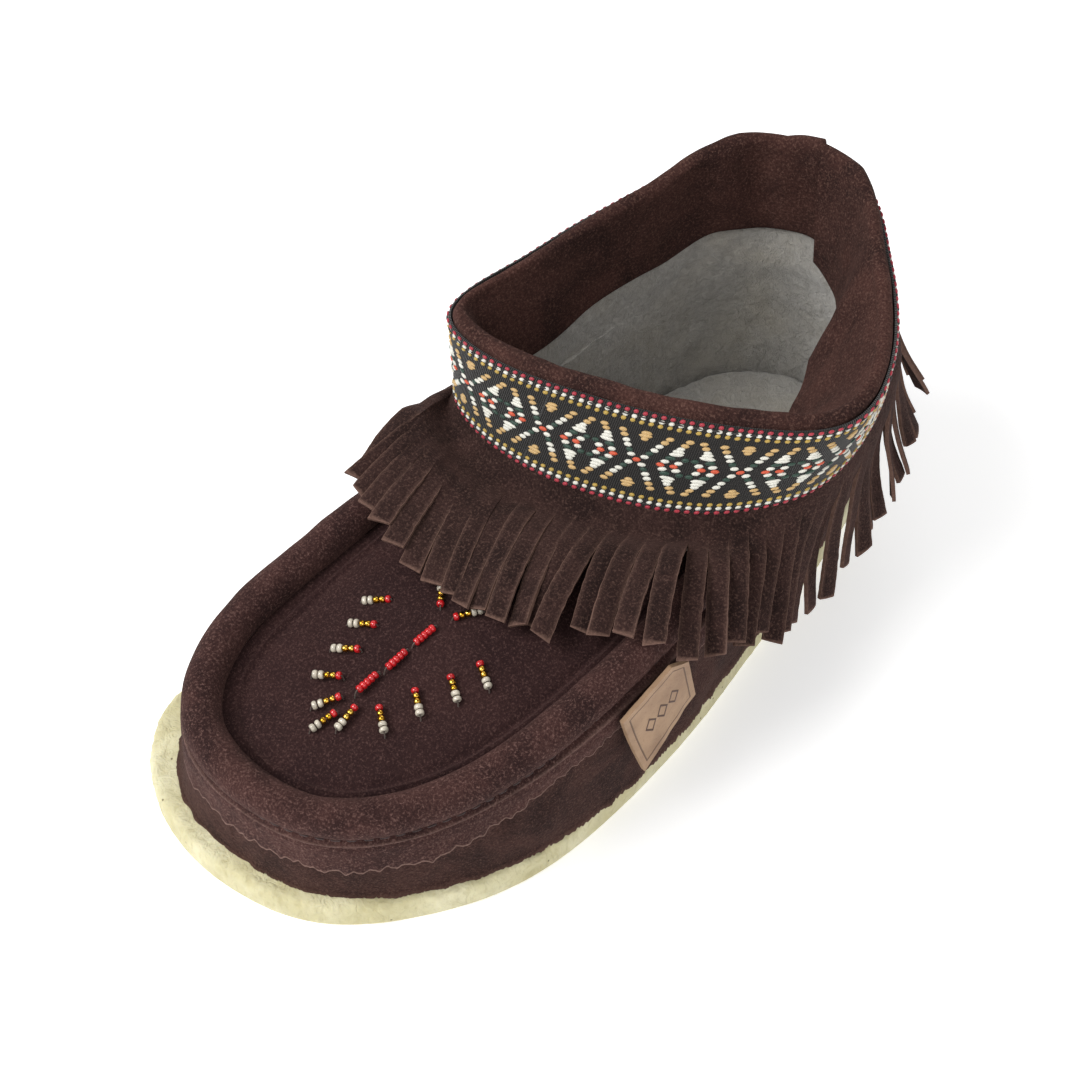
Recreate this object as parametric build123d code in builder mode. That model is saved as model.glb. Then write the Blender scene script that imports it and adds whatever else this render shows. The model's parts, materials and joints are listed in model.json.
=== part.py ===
from build123d import *
import os
from math import cos, hypot, radians, sin

# Women's left fringed suede moccasin on a crepe sole, in millimetres.
# Frame: the ground is z = 0, the toe points to -Y, the heel to +Y, the outer side of the foot is +X.

os.makedirs("parts", exist_ok=True)

# ---------------------------------------------------------------- driving dimensions
SOLE_THICK = 9.0
SOLE_CHAMFER = 1.2
BOTTOM_THICK = 1.6
FOAM_THICK = 4.0
FLEECE_THICK = 4.0
SUEDE = 1.6
LINING = 3.0
CLEAR = 0.3
LINING_DROP = 5.0
PLUG_LINING_MARGIN = 3.0

ROLL_RADIUS = 5.4
ROLL_SKIN = 1.2
ROLL_SLACK = 0.3
SEAM_ANGLE = 208.0
GROOVE_ANGLE = -45.0
TURN_ANGLE = -68.0
SHOULDER_DROP = 7.2
SKIRT_FOOT_DROP = 15.0
SKIRT_FLARE = 0.2
SKIRT_THICK = 1.3

CUFF_THICK = 4.6
BRAID_THICK = 0.9
BRAID_LIFT = 0.45
HEADER_THICK = 1.4

FRINGE_GROUPS = 12
STRANDS_PER_GROUP = 6
STRAND_THICK = 1.4
STRAND_SLOT = 0.9
STRAND_BOW = 4.0
STRAND_ROOT_GAP = 1.8

BEAD_RADIUS = 1.1
BEAD_HOLE = 0.45
BEAD_PITCH = 1.65
BEAD_LENGTH = 1.5
BEADS_PER_BAR = 5
THREAD_RADIUS = 0.2
THREAD_OVERHANG = 0.8
BEAD_GAP = 0.35

STITCH_LENGTH = 2.6
STITCH_WIDTH = 0.7
STITCH_DEPTH = 0.5
STITCH_PITCH = 3.8
STITCH_STANDOFF = 0.35
STITCH_MARGIN = 1.3
BRAID_STITCH_PITCH = 5.0
BRAID_STITCH_LIFT = 0.3

TAG_WIDTH = 26.0
TAG_HEIGHT = 26.0
TAG_THICK = 1.3
TAG_CLIP = 6.0
TAG_SLOPE = 14.0
TAG_CORNER = (60.3, -39.4, 52.0)

# Plan outlines, one point of each list beside the same point of the next, from the toe round the
# outer side to the heel and back along the inner side.
SOLE_PLAN = [(-8, -124), (18, -116), (38, -96), (52, -68), (56, -35), (54, 5), (48, 45), (42, 85),
             (28, 120), (0, 135), (-28, 118), (-39, 80), (-45, 30), (-51.5, -20), (-59.5, -66),
             (-60, -101), (-40.5, -119.5)]
WALL_BASE = [(-8, -118), (14, -113), (34, -97), (50, -68), (56, -35), (54, 5), (48, 45), (41, 85),
             (26, 117), (0, 130), (-25, 115), (-36, 80), (-41, 30), (-46, -20), (-52, -65),
             (-51, -98), (-36, -114)]
WALL_GROOVE = [(-8, -117), (13, -112), (33, -96), (49, -68), (56, -36), (55, 4), (52, 45), (46, 85),
               (29, 115), (0, 127), (-27, 113), (-37, 80), (-40, 30), (-41, -20), (-43, -65),
               (-38, -98), (-27.5, -110.5)]
WALL_TOP = [(-8, -114), (12, -110), (32, -94), (48, -67), (54, -36), (54, 5), (55, 45), (50, 84),
            (31, 112), (0, 123), (-27, 110), (-38, 80), (-42, 30), (-40, -20), (-42, -65),
            (-40, -97), (-28, -110)]
GROOVE_HEIGHT = 44.0
WALL_HEIGHT = 76.0
# Reach of the solids that only cut or trim.
OVERSIZE = 200.0

# The wall's upper edge in side view: low round the toe, rising to the quarters.
WALL_EDGE = [(-130, 37.5), (-95, 38.5), (-62, 41.5), (-36, 45.5), (-12, 48.5),
             (5.5, 49), (9, 54.5), (20, 61), (140, 68)]

# Centre line of the padded roll, from the inner rear end round the toe to the outer rear end.
ROLL_LINE = [(-37, 0, 56.2), (-38.5, -24, 57), (-40.5, -55, 53.5), (-39, -88, 49), (-25, -109, 46.5),
             (-2, -114.5, 46), (20, -109, 46.3), (36.8, -90.8, 47.4), (47.3, -63.4, 52),
             (50.9, -36, 57.2), (51, -14, 59.5), (48.9, 4.5, 59.2)]

# How far the skirt's foot stands out from the roll's centre line, evenly spaced along it.
SKIRT_FEET = [4.2, 3.4, 3.5, 4.0, 5.6, 7.0, 4.6, 2.8, 2.8, 2.8, 2.8, 4.3, 5.4, 5.5, 6.4]

# The plug's arched cross-sections: distance along Y, height in the middle, height 50 mm to the side.
PLUG_ARCHES = [(-118, 41.5, 40), (-95, 45.5, 41), (-60, 53, 44.8), (-30, 58.5, 51.3), (2, 62, 56),
               (26, 64, 60)]
PLUG_HALF = 50.0
PLUG_PLAN = [(-31.2, 0), (-32.5, -20.7), (-33.8, -41), (-35.1, -61), (-34.8, -80), (-28.9, -96.6),
             (-16.1, -106.9), (1.5, -108.6), (18.1, -103.4), (30.3, -90.3), (38.5, -73.5), (43.1, -55),
             (45.2, -35.7), (45.4, -16), (43.5, 2), (46.5, 16)]
PLUG_REAR = [(46.5, 16), (17, 1), (-10, -4), (-31.2, 0)]

# Collar loops, one point of each beside the same point of the other, from the front round the outer
# side to the heel and back: where the cuff joins the shoe, and its folded top.
CUFF_BASE = [(-10, -6), (17, -1), (45, 16), (55, 38), (54, 72), (42, 102), (15, 120), (-14, 119),
             (-31, 101), (-36.5, 83), (-40, 64), (-43, 28), (-41, 7), (-28, -3)]
CUFF_TOP = [(-10, 14), (13, 21), (43, 34), (62, 50), (55, 76), (32, 102), (13, 118), (-13, 119),
            (-29, 103), (-35, 84), (-41, 64), (-49, 32), (-50.5, 14), (-31, 10)]
# A loop lies in a plane that rises towards the heel: height at y = 0, and rise per millimetre.
BASE_LEVEL = (61.5, 0.06)
ROOT_LEVEL = (66.0, 0.105)
FOOT_LEVEL = (70.1, 0.12)
EDGE_LEVEL = (90.0, 0.168)
TOP_LEVEL = (92.3, 0.170)
ROOT_OUTSET = 3.0

# Tips of the fringe strands by their root's share of the way round the collar.
STRAND_TIPS = [(0.01, 8, -43, 60.5), (0.05, 23, -40, 60), (0.076, 30.5, -37.5, 60.5),
               (0.09, 39.3, -32.2, 63.5), (0.115, 50, -29, 69.5),
               (0.14, 63, -22, 68), (0.16, 67.5, -12, 60), (0.18, 68, -1, 49), (0.20, 67, 9, 41),
               (0.225, 66, 20, 36), (0.25, 65.5, 33, 34), (0.28, 65, 48, 34), (0.31, 64.5, 61, 37),
               (0.35, 61.5, 79, 41), (0.40, 55, 100, 45), (0.45, 43, 121, 49), (0.50, 22, 134, 43),
               (0.55, -4, 137, 40), (0.60, -30, 130, 39), (0.65, -45, 110, 37), (0.70, -51, 86, 34),
               (0.75, -53, 62, 32), (0.80, -55, 40, 31), (0.84, -57, 24, 30), (0.87, -58, 12, 30),
               (0.895, -56, -6, 34), (0.915, -45, -34, 70), (0.93, -38, -37.5, 69),
               (0.945, -31, -40.5, 69), (0.96, -22, -43, 67), (0.975, -12, -44, 61.5),
               (0.99, -1, -44, 60.5), (1.01, 8, -43, 60.5)]

# Bead bars on the plug: outer end and inner end in plan; rays run white to red, the rest all red.
BEAD_RAYS = [((-18, -57), (-11.5, -52)), ((-16.2, -64.4), (-8.7, -60)), ((-14.3, -72.6), (-7, -68)),
             ((-12.7, -81.3), (-5.2, -76.6)), ((-5.6, -88), (-1.4, -81)), ((-1, -93), (0.8, -85)),
             ((4.4, -88.6), (3.8, -80.6)), ((15.3, -81.7), (8.2, -76.8)), ((19.2, -72.3), (12.2, -67.4)),
             ((23.9, -63.1), (16.9, -58.8)), ((27.6, -55.1), (20, -51)), ((-4.5, -39.5), (1.2, -46)),
             ((11, -39), (5.9, -46.6))]
BEAD_SPINE = [((1, -78), (1.7, -70)), ((2.6, -68.6), (3.2, -60.6)), ((3.4, -58.8), (4.2, -50.8))]


# ---------------------------------------------------------------- geometry helpers
def inset(points, distance):
    """Move each point of a counter-clockwise closed outline inwards."""
    moved = []
    for i, (x, y) in enumerate(points):
        x0, y0 = points[i - 1]
        x1, y1 = points[(i + 1) % len(points)]
        run = hypot(x1 - x0, y1 - y0)
        moved.append((x - (y1 - y0) / run * distance, y + (x1 - x0) / run * distance))
    return moved


def blend(first, second, share):
    """Points part of the way from one list to another."""
    return [tuple(a + (b - a) * share for a, b in zip(p, q)) for p, q in zip(first, second)]


def wall_outline(height, depth):
    """The wall's outline at a height, moved inwards by depth."""
    if height <= GROOVE_HEIGHT:
        share = (height - SOLE_THICK) / (GROOVE_HEIGHT - SOLE_THICK)
        return inset(blend(WALL_BASE, WALL_GROOVE, share), depth)
    share = (height - GROOVE_HEIGHT) / (WALL_HEIGHT - GROOVE_HEIGHT)
    return inset(blend(WALL_GROOVE, WALL_TOP, share), depth)


def level_plane(level):
    """A plane that rises towards the heel, from its height at y = 0 and its rise."""
    height, rise = level
    return Plane(origin=(0, 0, height), x_dir=(1, 0, 0), z_dir=(0, -rise, 1))


def lifted(points, level):
    """Plan points as points in space on a rising plane."""
    return [(x, y, level[0] + level[1] * y) for x, y in points]


def collar_loop(level, outset):
    """Plan points of the cuff's outer face on a rising plane, moved outwards by outset."""
    points = []
    for (xb, yb), (xt, yt) in zip(CUFF_BASE, CUFF_TOP):
        low = BASE_LEVEL[0] + BASE_LEVEL[1] * yb
        high = TOP_LEVEL[0] + TOP_LEVEL[1] * yt
        share = (level[0] + level[1] * yb - low) / (high - low - level[1] * (yt - yb))
        points.append((xb + (xt - xb) * share, yb + (yt - yb) * share))
    return inset(points, -outset)


def closed_sketch(points, plane):
    """A filled sketch inside a smooth closed curve."""
    with BuildSketch(plane) as shape:
        with BuildLine():
            Spline(*points, periodic=True)
        make_face()
    return shape.sketch


def smooth_line(points, closed=False):
    """A smooth curve through points in space."""
    with BuildLine() as line:
        Spline(*points, periodic=closed)
    return line.edges()[0]


def plug_height(x, y):
    """Height of the plug's upper face."""
    for (y0, m0, e0), (y1, m1, e1) in zip(PLUG_ARCHES, PLUG_ARCHES[1:]):
        if y <= y1:
            break
    share = (y - y0) / (y1 - y0)
    middle = m0 + (m1 - m0) * share
    edge = e0 + (e1 - e0) * share
    return middle - (middle - edge) * (x / PLUG_HALF) ** 2


def roll_plane(share):
    """A plane across the roll: local x points away from the plug, local y up."""
    line = smooth_line(ROLL_LINE)
    along = line % share
    outward = along.cross(Vector(0, 0, 1)).normalized()
    return Plane(origin=line @ share, x_dir=outward, z_dir=along * -1)


def polar(radius, angle):
    """A point from its distance and its angle in degrees."""
    return (radius * cos(radians(angle)), radius * sin(radians(angle)))


def finish(builder, name):
    """Label a piece and write it."""
    builder.part.label = name
    export_step(builder.part, f"parts/{name}.step")


# ---------------------------------------------------------------- sole and footbed
INSIDE = SUEDE + LINING + CLEAR

with BuildPart() as crepe_outsole:
    extrude(closed_sketch(SOLE_PLAN, Plane.XY), amount=SOLE_THICK)
    chamfer(crepe_outsole.edges().group_by(Axis.Z)[-1], length=SOLE_CHAMFER)
finish(crepe_outsole, "crepe_outsole")

BOTTOM_Z = SOLE_THICK
with BuildPart() as bottom_panel:
    sheet = closed_sketch(wall_outline(SOLE_THICK, SUEDE + CLEAR), Plane.XY.offset(BOTTOM_Z))
    extrude(sheet, amount=BOTTOM_THICK)
finish(bottom_panel, "bottom_panel")


def footbed_sections(low, thick):
    """Sketches of the underside and the top of a pad that fills the shoe from wall to wall."""
    return [closed_sketch(wall_outline(height, INSIDE + CLEAR), Plane.XY.offset(height))
            for height in (low, low + thick)]


FOAM_Z = BOTTOM_Z + BOTTOM_THICK
with BuildPart() as footbed_foam:
    loft(footbed_sections(FOAM_Z, FOAM_THICK))
finish(footbed_foam, "footbed_foam")

FLEECE_Z = FOAM_Z + FOAM_THICK
with BuildPart() as footbed_fleece:
    loft(footbed_sections(FLEECE_Z, FLEECE_THICK))
finish(footbed_fleece, "footbed_fleece")


# ---------------------------------------------------------------- wall and lining
def wall_sections(low, depth):
    """Sketches across the wall at three heights, moved inwards by depth."""
    return [closed_sketch(wall_outline(height, depth), Plane.XY.offset(height))
            for height in (low, GROOVE_HEIGHT, WALL_HEIGHT)]


def above(edge):
    """A sketch of what lies above a line drawn in side view."""
    with BuildSketch(Plane.YZ) as region:
        with BuildLine():
            Polyline(*edge, (edge[-1][0], OVERSIZE), (edge[0][0], OVERSIZE), close=True)
        make_face()
    return region.sketch


with BuildPart() as side_upper:
    loft(wall_sections(SOLE_THICK, 0), ruled=True)
    loft(wall_sections(SOLE_THICK, SUEDE), ruled=True, mode=Mode.SUBTRACT)
    extrude(above(WALL_EDGE), amount=OVERSIZE, both=True, mode=Mode.SUBTRACT)
finish(side_upper, "side_upper")

with BuildPart() as fleece_lining:
    loft(wall_sections(FOAM_Z, SUEDE + CLEAR / 2), ruled=True)
    loft(wall_sections(FOAM_Z, SUEDE + CLEAR / 2 + LINING), ruled=True, mode=Mode.SUBTRACT)
    lining_edge = [(y, z - LINING_DROP) for y, z in WALL_EDGE]
    extrude(above(lining_edge), amount=OVERSIZE, both=True, mode=Mode.SUBTRACT)
finish(fleece_lining, "fleece_lining")


# ---------------------------------------------------------------- plug
def arch_sections(drop, thick):
    """Sketches across a plate arched over the foot, its upper face drop below the plug's."""
    sections = []
    for y, middle, edge in PLUG_ARCHES:
        with BuildSketch(Plane(origin=(0, y, -drop), x_dir=(1, 0, 0), z_dir=(0, -1, 0))) as section:
            with BuildLine():
                ThreePointArc((-PLUG_HALF, edge), (0, middle), (PLUG_HALF, edge))
                Line((PLUG_HALF, edge), (PLUG_HALF, edge - thick))
                ThreePointArc((PLUG_HALF, edge - thick), (0, middle - thick), (-PLUG_HALF, edge - thick))
                Line((-PLUG_HALF, edge - thick), (-PLUG_HALF, edge))
            make_face()
        sections.append(section.sketch)
    return sections


def plug_region(margin):
    """The plug's plan, made smaller by margin."""
    with BuildSketch(Plane.XY) as region:
        with BuildLine():
            edge = Spline(*inset(PLUG_PLAN, margin))
            Spline(edge @ 1, *PLUG_REAR[1:-1], edge @ 0)
        make_face()
    return region.sketch


with BuildPart() as vamp_plug:
    loft(arch_sections(0, SUEDE))
    extrude(plug_region(0), amount=OVERSIZE, mode=Mode.INTERSECT)
finish(vamp_plug, "vamp_plug")

with BuildPart() as vamp_lining:
    loft(arch_sections(SUEDE, LINING))
    extrude(plug_region(PLUG_LINING_MARGIN), amount=OVERSIZE, mode=Mode.INTERSECT)
finish(vamp_lining, "vamp_lining")


# ---------------------------------------------------------------- padded roll
STATIONS = [i / (len(SKIRT_FEET) - 1) for i in range(len(SKIRT_FEET))]
ROLL_INSIDE = ROLL_RADIUS - ROLL_SKIN

with BuildPart() as roll_core:
    for share in STATIONS:
        with BuildSketch(roll_plane(share)):
            Circle(ROLL_INSIDE - ROLL_SLACK)
    loft()
finish(roll_core, "roll_core")

with BuildPart() as apron_band:
    for share, foot in zip(STATIONS, SKIRT_FEET):
        with BuildSketch(roll_plane(share)):
            with BuildLine():
                groove = polar(ROLL_RADIUS, GROOVE_ANGLE)
                shoulder = (foot - SKIRT_FLARE, -SHOULDER_DROP)
                ThreePointArc(polar(ROLL_RADIUS, SEAM_ANGLE), (0, ROLL_RADIUS), groove)
                Polyline(groove, (shoulder[0] + SKIRT_THICK, shoulder[1]),
                         (foot + SKIRT_THICK, -SKIRT_FOOT_DROP), (foot, -SKIRT_FOOT_DROP), shoulder,
                         polar(ROLL_INSIDE, TURN_ANGLE))
                ThreePointArc(polar(ROLL_INSIDE, TURN_ANGLE), (0, ROLL_INSIDE),
                              polar(ROLL_INSIDE, SEAM_ANGLE))
                Line(polar(ROLL_INSIDE, SEAM_ANGLE), polar(ROLL_RADIUS, SEAM_ANGLE))
            make_face()
    loft()
finish(apron_band, "apron_band")


def stitch(place):
    """The outline of one thread stitch."""
    with BuildSketch(place) as outline:
        Rectangle(STITCH_LENGTH, STITCH_WIDTH)
    return outline.sketch


def spaced(line, pitch):
    """Shares of a line's length, one pitch apart."""
    count = int(line.length / pitch)
    return [(i + 0.5) / count for i in range(count)]


def skirt_foot(share):
    """How far the skirt's foot stands out at a share of the roll's length."""
    place = share * (len(SKIRT_FEET) - 1)
    low = min(int(place), len(SKIRT_FEET) - 2)
    return SKIRT_FEET[low] + (SKIRT_FEET[low + 1] - SKIRT_FEET[low]) * (place - low)


def groove_place(share):
    """The plane of a stitch on the skirt's upright face below the groove, facing outwards."""
    across = roll_plane(share)
    face = skirt_foot(share) + SKIRT_THICK + STITCH_STANDOFF
    origin = across.from_local_coords((face, -SHOULDER_DROP - STITCH_WIDTH))
    return Plane(origin=origin, x_dir=across.z_dir, z_dir=across.x_dir)


with BuildPart() as roll_stitches:
    groove_line = smooth_line(ROLL_LINE)
    for share in spaced(groove_line, STITCH_PITCH):
        extrude(stitch(groove_place(share)), amount=STITCH_DEPTH)
finish(roll_stitches, "roll_stitches")


# ---------------------------------------------------------------- collar cuff, braid and header
def collar_section(level, outset):
    """A sketch across the collar on a rising plane, moved outwards by outset."""
    stretch = hypot(1, level[1])
    points = [(x, y * stretch) for x, y in collar_loop(level, outset)]
    return closed_sketch(points, level_plane(level))


def collar_ring(low, high, low_outset, high_outset, thick):
    """Add a ring that follows the collar between two rising planes."""
    loft([collar_section(low, low_outset), collar_section(high, high_outset)])
    loft([collar_section(low, low_outset - thick), collar_section(high, high_outset - thick)],
         mode=Mode.SUBTRACT)


with BuildPart() as collar_cuff:
    collar_ring(BASE_LEVEL, TOP_LEVEL, 0, 0, CUFF_THICK)
finish(collar_cuff, "collar_cuff")

BRAID_FACE = BRAID_LIFT + BRAID_THICK
with BuildPart() as braid_trim:
    collar_ring(FOOT_LEVEL, EDGE_LEVEL, BRAID_FACE, BRAID_FACE, BRAID_THICK)
finish(braid_trim, "braid_trim")

with BuildPart() as fringe_header:
    collar_ring(ROOT_LEVEL, FOOT_LEVEL, ROOT_OUTSET, BRAID_LIFT + HEADER_THICK, HEADER_THICK)
finish(fringe_header, "fringe_header")


def collar_places(level, outset, pitch):
    """Planes facing outwards, one pitch apart round the collar."""
    loop = smooth_line(lifted(collar_loop(level, outset), level), closed=True)
    places = []
    for share in spaced(loop, pitch):
        along = loop % share
        places.append(Plane(origin=loop @ share, x_dir=along, z_dir=along.cross(Vector(0, 0, 1))))
    return places


for row, (height, rise) in (("upper", (EDGE_LEVEL[0] - STITCH_MARGIN, EDGE_LEVEL[1])),
                            ("lower", (FOOT_LEVEL[0] + STITCH_MARGIN, FOOT_LEVEL[1]))):
    with BuildPart() as braid_stitches:
        for place in collar_places((height, rise), BRAID_FACE + BRAID_STITCH_LIFT, BRAID_STITCH_PITCH):
            extrude(stitch(place), amount=STITCH_DEPTH)
    finish(braid_stitches, f"braid_stitches_{row}")


# ---------------------------------------------------------------- fringe
ROOT_LINE = smooth_line(lifted(collar_loop(ROOT_LEVEL, ROOT_OUTSET), ROOT_LEVEL), closed=True)
STRAND_COUNT = FRINGE_GROUPS * STRANDS_PER_GROUP
STRAND_WIDTH = ROOT_LINE.length / STRAND_COUNT - STRAND_SLOT


def strand_tip(share):
    """Where a strand ends, from its root's share of the way round."""
    if share < STRAND_TIPS[0][0]:
        share += 1
    for low, high in zip(STRAND_TIPS, STRAND_TIPS[1:]):
        if share <= high[0]:
            break
    part = (share - low[0]) / (high[0] - low[0])
    return Vector(*(a + (b - a) * part for a, b in zip(low[1:], high[1:])))


def strand_plane(share):
    """A plane across a strand's width: local x runs to its tip, local y outwards."""
    root = ROOT_LINE @ share
    down = (strand_tip(share) - root).normalized()
    across = ROOT_LINE % share
    across = (across - down * across.dot(down)).normalized()
    return Plane(origin=root, x_dir=down, z_dir=across * -1)


def strand_profile(share):
    """The side view of one bowed strand."""
    length = (strand_tip(share) - ROOT_LINE @ share).length
    with BuildSketch(strand_plane(share)) as profile:
        with BuildLine():
            ThreePointArc((STRAND_ROOT_GAP, 0), (length / 2, STRAND_BOW), (length, 0))
            Line((length, 0), (length, -STRAND_THICK))
            ThreePointArc((length, -STRAND_THICK), (length / 2, STRAND_BOW - STRAND_THICK),
                          (STRAND_ROOT_GAP, -STRAND_THICK))
            Line((STRAND_ROOT_GAP, -STRAND_THICK), (STRAND_ROOT_GAP, 0))
        make_face()
    return profile.sketch


def group_hinge(group):
    """The plane at the middle of a group's root; the group turns about its local -z."""
    return strand_plane((group + 0.5) / FRINGE_GROUPS)


for group in range(FRINGE_GROUPS):
    with BuildPart() as fringe_group:
        for strand in range(STRANDS_PER_GROUP):
            share = (group * STRANDS_PER_GROUP + strand + 0.5) / STRAND_COUNT
            extrude(strand_profile(share), amount=STRAND_WIDTH / 2, both=True)
    finish(fringe_group, f"fringe_{group + 1:02d}")


# ---------------------------------------------------------------- leather tag
TAG_PLANE = Plane(origin=TAG_CORNER, x_dir=(0, cos(radians(TAG_SLOPE)), sin(radians(TAG_SLOPE))),
                  z_dir=(1, 0, 0))
TAG_SIDE = [(0, 0), (0, -TAG_HEIGHT), (TAG_WIDTH, -TAG_HEIGHT), (TAG_WIDTH, -TAG_CLIP),
            (TAG_WIDTH - TAG_CLIP, 0)]

with BuildPart() as label_tag:
    with BuildSketch(TAG_PLANE):
        with BuildLine():
            Polyline(*TAG_SIDE, close=True)
        make_face()
    extrude(amount=-TAG_THICK)
finish(label_tag, "label_tag")


# ---------------------------------------------------------------- beadwork
def bead_spots(bar):
    """Planes across the beads of a bar, from its outer end inwards."""
    (x0, y0), (x1, y1) = bar
    height = BEAD_RADIUS + BEAD_GAP
    start = Vector(x0, y0, plug_height(x0, y0) + height)
    end = Vector(x1, y1, plug_height(x1, y1) + height)
    along = (end - start).normalized()
    middle = (start + end) / 2
    steps = [(i - (BEADS_PER_BAR - 1) / 2) * BEAD_PITCH for i in range(BEADS_PER_BAR)]
    return [Plane(origin=middle + along * step, z_dir=along) for step in steps]


def ring_section(place, outer, hole):
    """A round section with a hole."""
    with BuildSketch(place) as section:
        Circle(outer)
        if hole:
            Circle(hole, mode=Mode.SUBTRACT)
    return section.sketch


BEAD_NODES = {"beads_white": [spot for bar in BEAD_RAYS for spot in bead_spots(bar)[:2]],
              "beads_gold": [spot for bar in BEAD_RAYS for spot in bead_spots(bar)[2:4]],
              "beads_red": [spot for bar in BEAD_RAYS for spot in bead_spots(bar)[4:]]
              + [spot for bar in BEAD_SPINE for spot in bead_spots(bar)]}

for name, spots in BEAD_NODES.items():
    with BuildPart() as beads:
        for spot in spots:
            extrude(ring_section(spot, BEAD_RADIUS, BEAD_HOLE), amount=BEAD_LENGTH / 2, both=True)
    finish(beads, name)

with BuildPart() as bead_threads:
    for bar in BEAD_RAYS + BEAD_SPINE:
        half = (BEADS_PER_BAR * BEAD_PITCH) / 2 + THREAD_OVERHANG
        extrude(ring_section(bead_spots(bar)[BEADS_PER_BAR // 2], THREAD_RADIUS, 0), amount=half,
                both=True)
finish(bead_threads, "bead_threads")
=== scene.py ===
import json
from math import cos, pi, radians, sin

import bpy
import numpy as np
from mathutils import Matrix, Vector

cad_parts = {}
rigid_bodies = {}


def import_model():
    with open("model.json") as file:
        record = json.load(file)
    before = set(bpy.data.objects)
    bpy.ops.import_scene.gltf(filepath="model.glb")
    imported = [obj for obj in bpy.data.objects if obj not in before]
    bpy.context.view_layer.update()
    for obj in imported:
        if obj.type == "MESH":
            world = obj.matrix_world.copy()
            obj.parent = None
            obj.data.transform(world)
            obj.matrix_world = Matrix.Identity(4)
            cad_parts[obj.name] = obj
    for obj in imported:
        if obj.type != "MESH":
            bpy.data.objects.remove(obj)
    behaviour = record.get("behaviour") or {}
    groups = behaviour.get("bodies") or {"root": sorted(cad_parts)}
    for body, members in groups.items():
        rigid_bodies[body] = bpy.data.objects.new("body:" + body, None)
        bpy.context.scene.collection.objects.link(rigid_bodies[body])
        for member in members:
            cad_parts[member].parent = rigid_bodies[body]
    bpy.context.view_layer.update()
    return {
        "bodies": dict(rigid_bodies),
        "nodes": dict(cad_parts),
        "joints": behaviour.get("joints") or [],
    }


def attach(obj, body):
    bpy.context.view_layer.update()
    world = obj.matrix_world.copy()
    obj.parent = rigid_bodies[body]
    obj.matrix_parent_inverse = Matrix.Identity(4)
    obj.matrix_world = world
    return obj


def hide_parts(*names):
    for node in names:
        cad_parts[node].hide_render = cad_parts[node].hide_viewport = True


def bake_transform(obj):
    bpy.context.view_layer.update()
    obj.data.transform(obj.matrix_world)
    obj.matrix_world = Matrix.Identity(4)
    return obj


# Fringed suede moccasin, dressed around its CAD frame. Lengths are millimetres until a mesh is made.
# Toe to -Y, heel to +Y, outer side of the foot to +X, ground at z = 0.

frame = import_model()
MM = 0.001

# ---------------------------------------------------------------- the design's own outlines
SOLE_PLAN = [(-8, -124), (18, -116), (38, -96), (52, -68), (56, -35), (54, 5), (48, 45), (42, 85),
             (28, 120), (0, 135), (-28, 118), (-39, 80), (-45, 30), (-51.5, -20), (-59.5, -66),
             (-60, -101), (-40.5, -119.5)]
WALL_BASE = [(-8, -118), (14, -113), (34, -97), (50, -68), (56, -35), (54, 5), (48, 45), (41, 85),
             (26, 117), (0, 130), (-25, 115), (-36, 80), (-41, 30), (-46, -20), (-52, -65),
             (-51, -98), (-36, -114)]
WALL_GROOVE = [(-8, -117), (13, -112), (33, -96), (49, -68), (56, -36), (55, 4), (52, 45), (46, 85),
               (29, 115), (0, 127), (-27, 113), (-37, 80), (-40, 30), (-41, -20), (-43, -65),
               (-38, -98), (-27.5, -110.5)]
WALL_TOP = [(-8, -114), (12, -110), (32, -94), (48, -67), (54, -36), (54, 5), (55, 45), (50, 84),
            (31, 112), (0, 123), (-27, 110), (-38, 80), (-42, 30), (-40, -20), (-42, -65),
            (-40, -97), (-28, -110)]
WALL_EDGE = [(-130, 37.5), (-95, 38.5), (-62, 41.5), (-36, 45.5), (-12, 48.5),
             (5.5, 49), (9, 54.5), (20, 61), (140, 68)]
ROLL_LINE = [(-37, 0, 56.2), (-38.5, -24, 57), (-40.5, -55, 53.5), (-39, -88, 49), (-25, -109, 46.5),
             (-2, -114.5, 46), (20, -109, 46.3), (36.8, -90.8, 47.4), (47.3, -63.4, 52),
             (50.9, -36, 57.2), (51, -14, 59.5), (48.9, 4.5, 59.2)]
SKIRT_FEET = [4.2, 3.4, 3.5, 4.0, 5.6, 7.0, 4.6, 2.8, 2.8, 2.8, 2.8, 4.3, 5.4, 5.5, 6.4]
PLUG_ARCHES = [(-118, 41.5, 40), (-95, 45.5, 41), (-60, 53, 44.8), (-30, 58.5, 51.3), (2, 62, 56),
               (26, 64, 60)]
PLUG_PLAN = [(-31.2, 0), (-32.5, -20.7), (-33.8, -41), (-35.1, -61), (-34.8, -80), (-28.9, -96.6),
             (-16.1, -106.9), (1.5, -108.6), (18.1, -103.4), (30.3, -90.3), (38.5, -73.5), (43.1, -55),
             (45.2, -35.7), (45.4, -16), (43.5, 2), (46.5, 16)]
PLUG_REAR = [(46.5, 16), (17, 1), (-10, -4), (-31.2, 0)]
PLUG_HALF = 50.0
PLUG_CENTRE = (7.0, -52.0)
CUFF_BASE = [(-10, -6), (17, -1), (45, 16), (55, 38), (54, 72), (42, 102), (15, 120), (-14, 119),
             (-31, 101), (-36.5, 83), (-40, 64), (-43, 28), (-41, 7), (-28, -3)]
CUFF_TOP = [(-10, 14), (13, 21), (43, 34), (62, 50), (55, 76), (32, 102), (13, 118), (-13, 119),
            (-29, 103), (-35, 84), (-41, 64), (-49, 32), (-50.5, 14), (-31, 10)]
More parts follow.
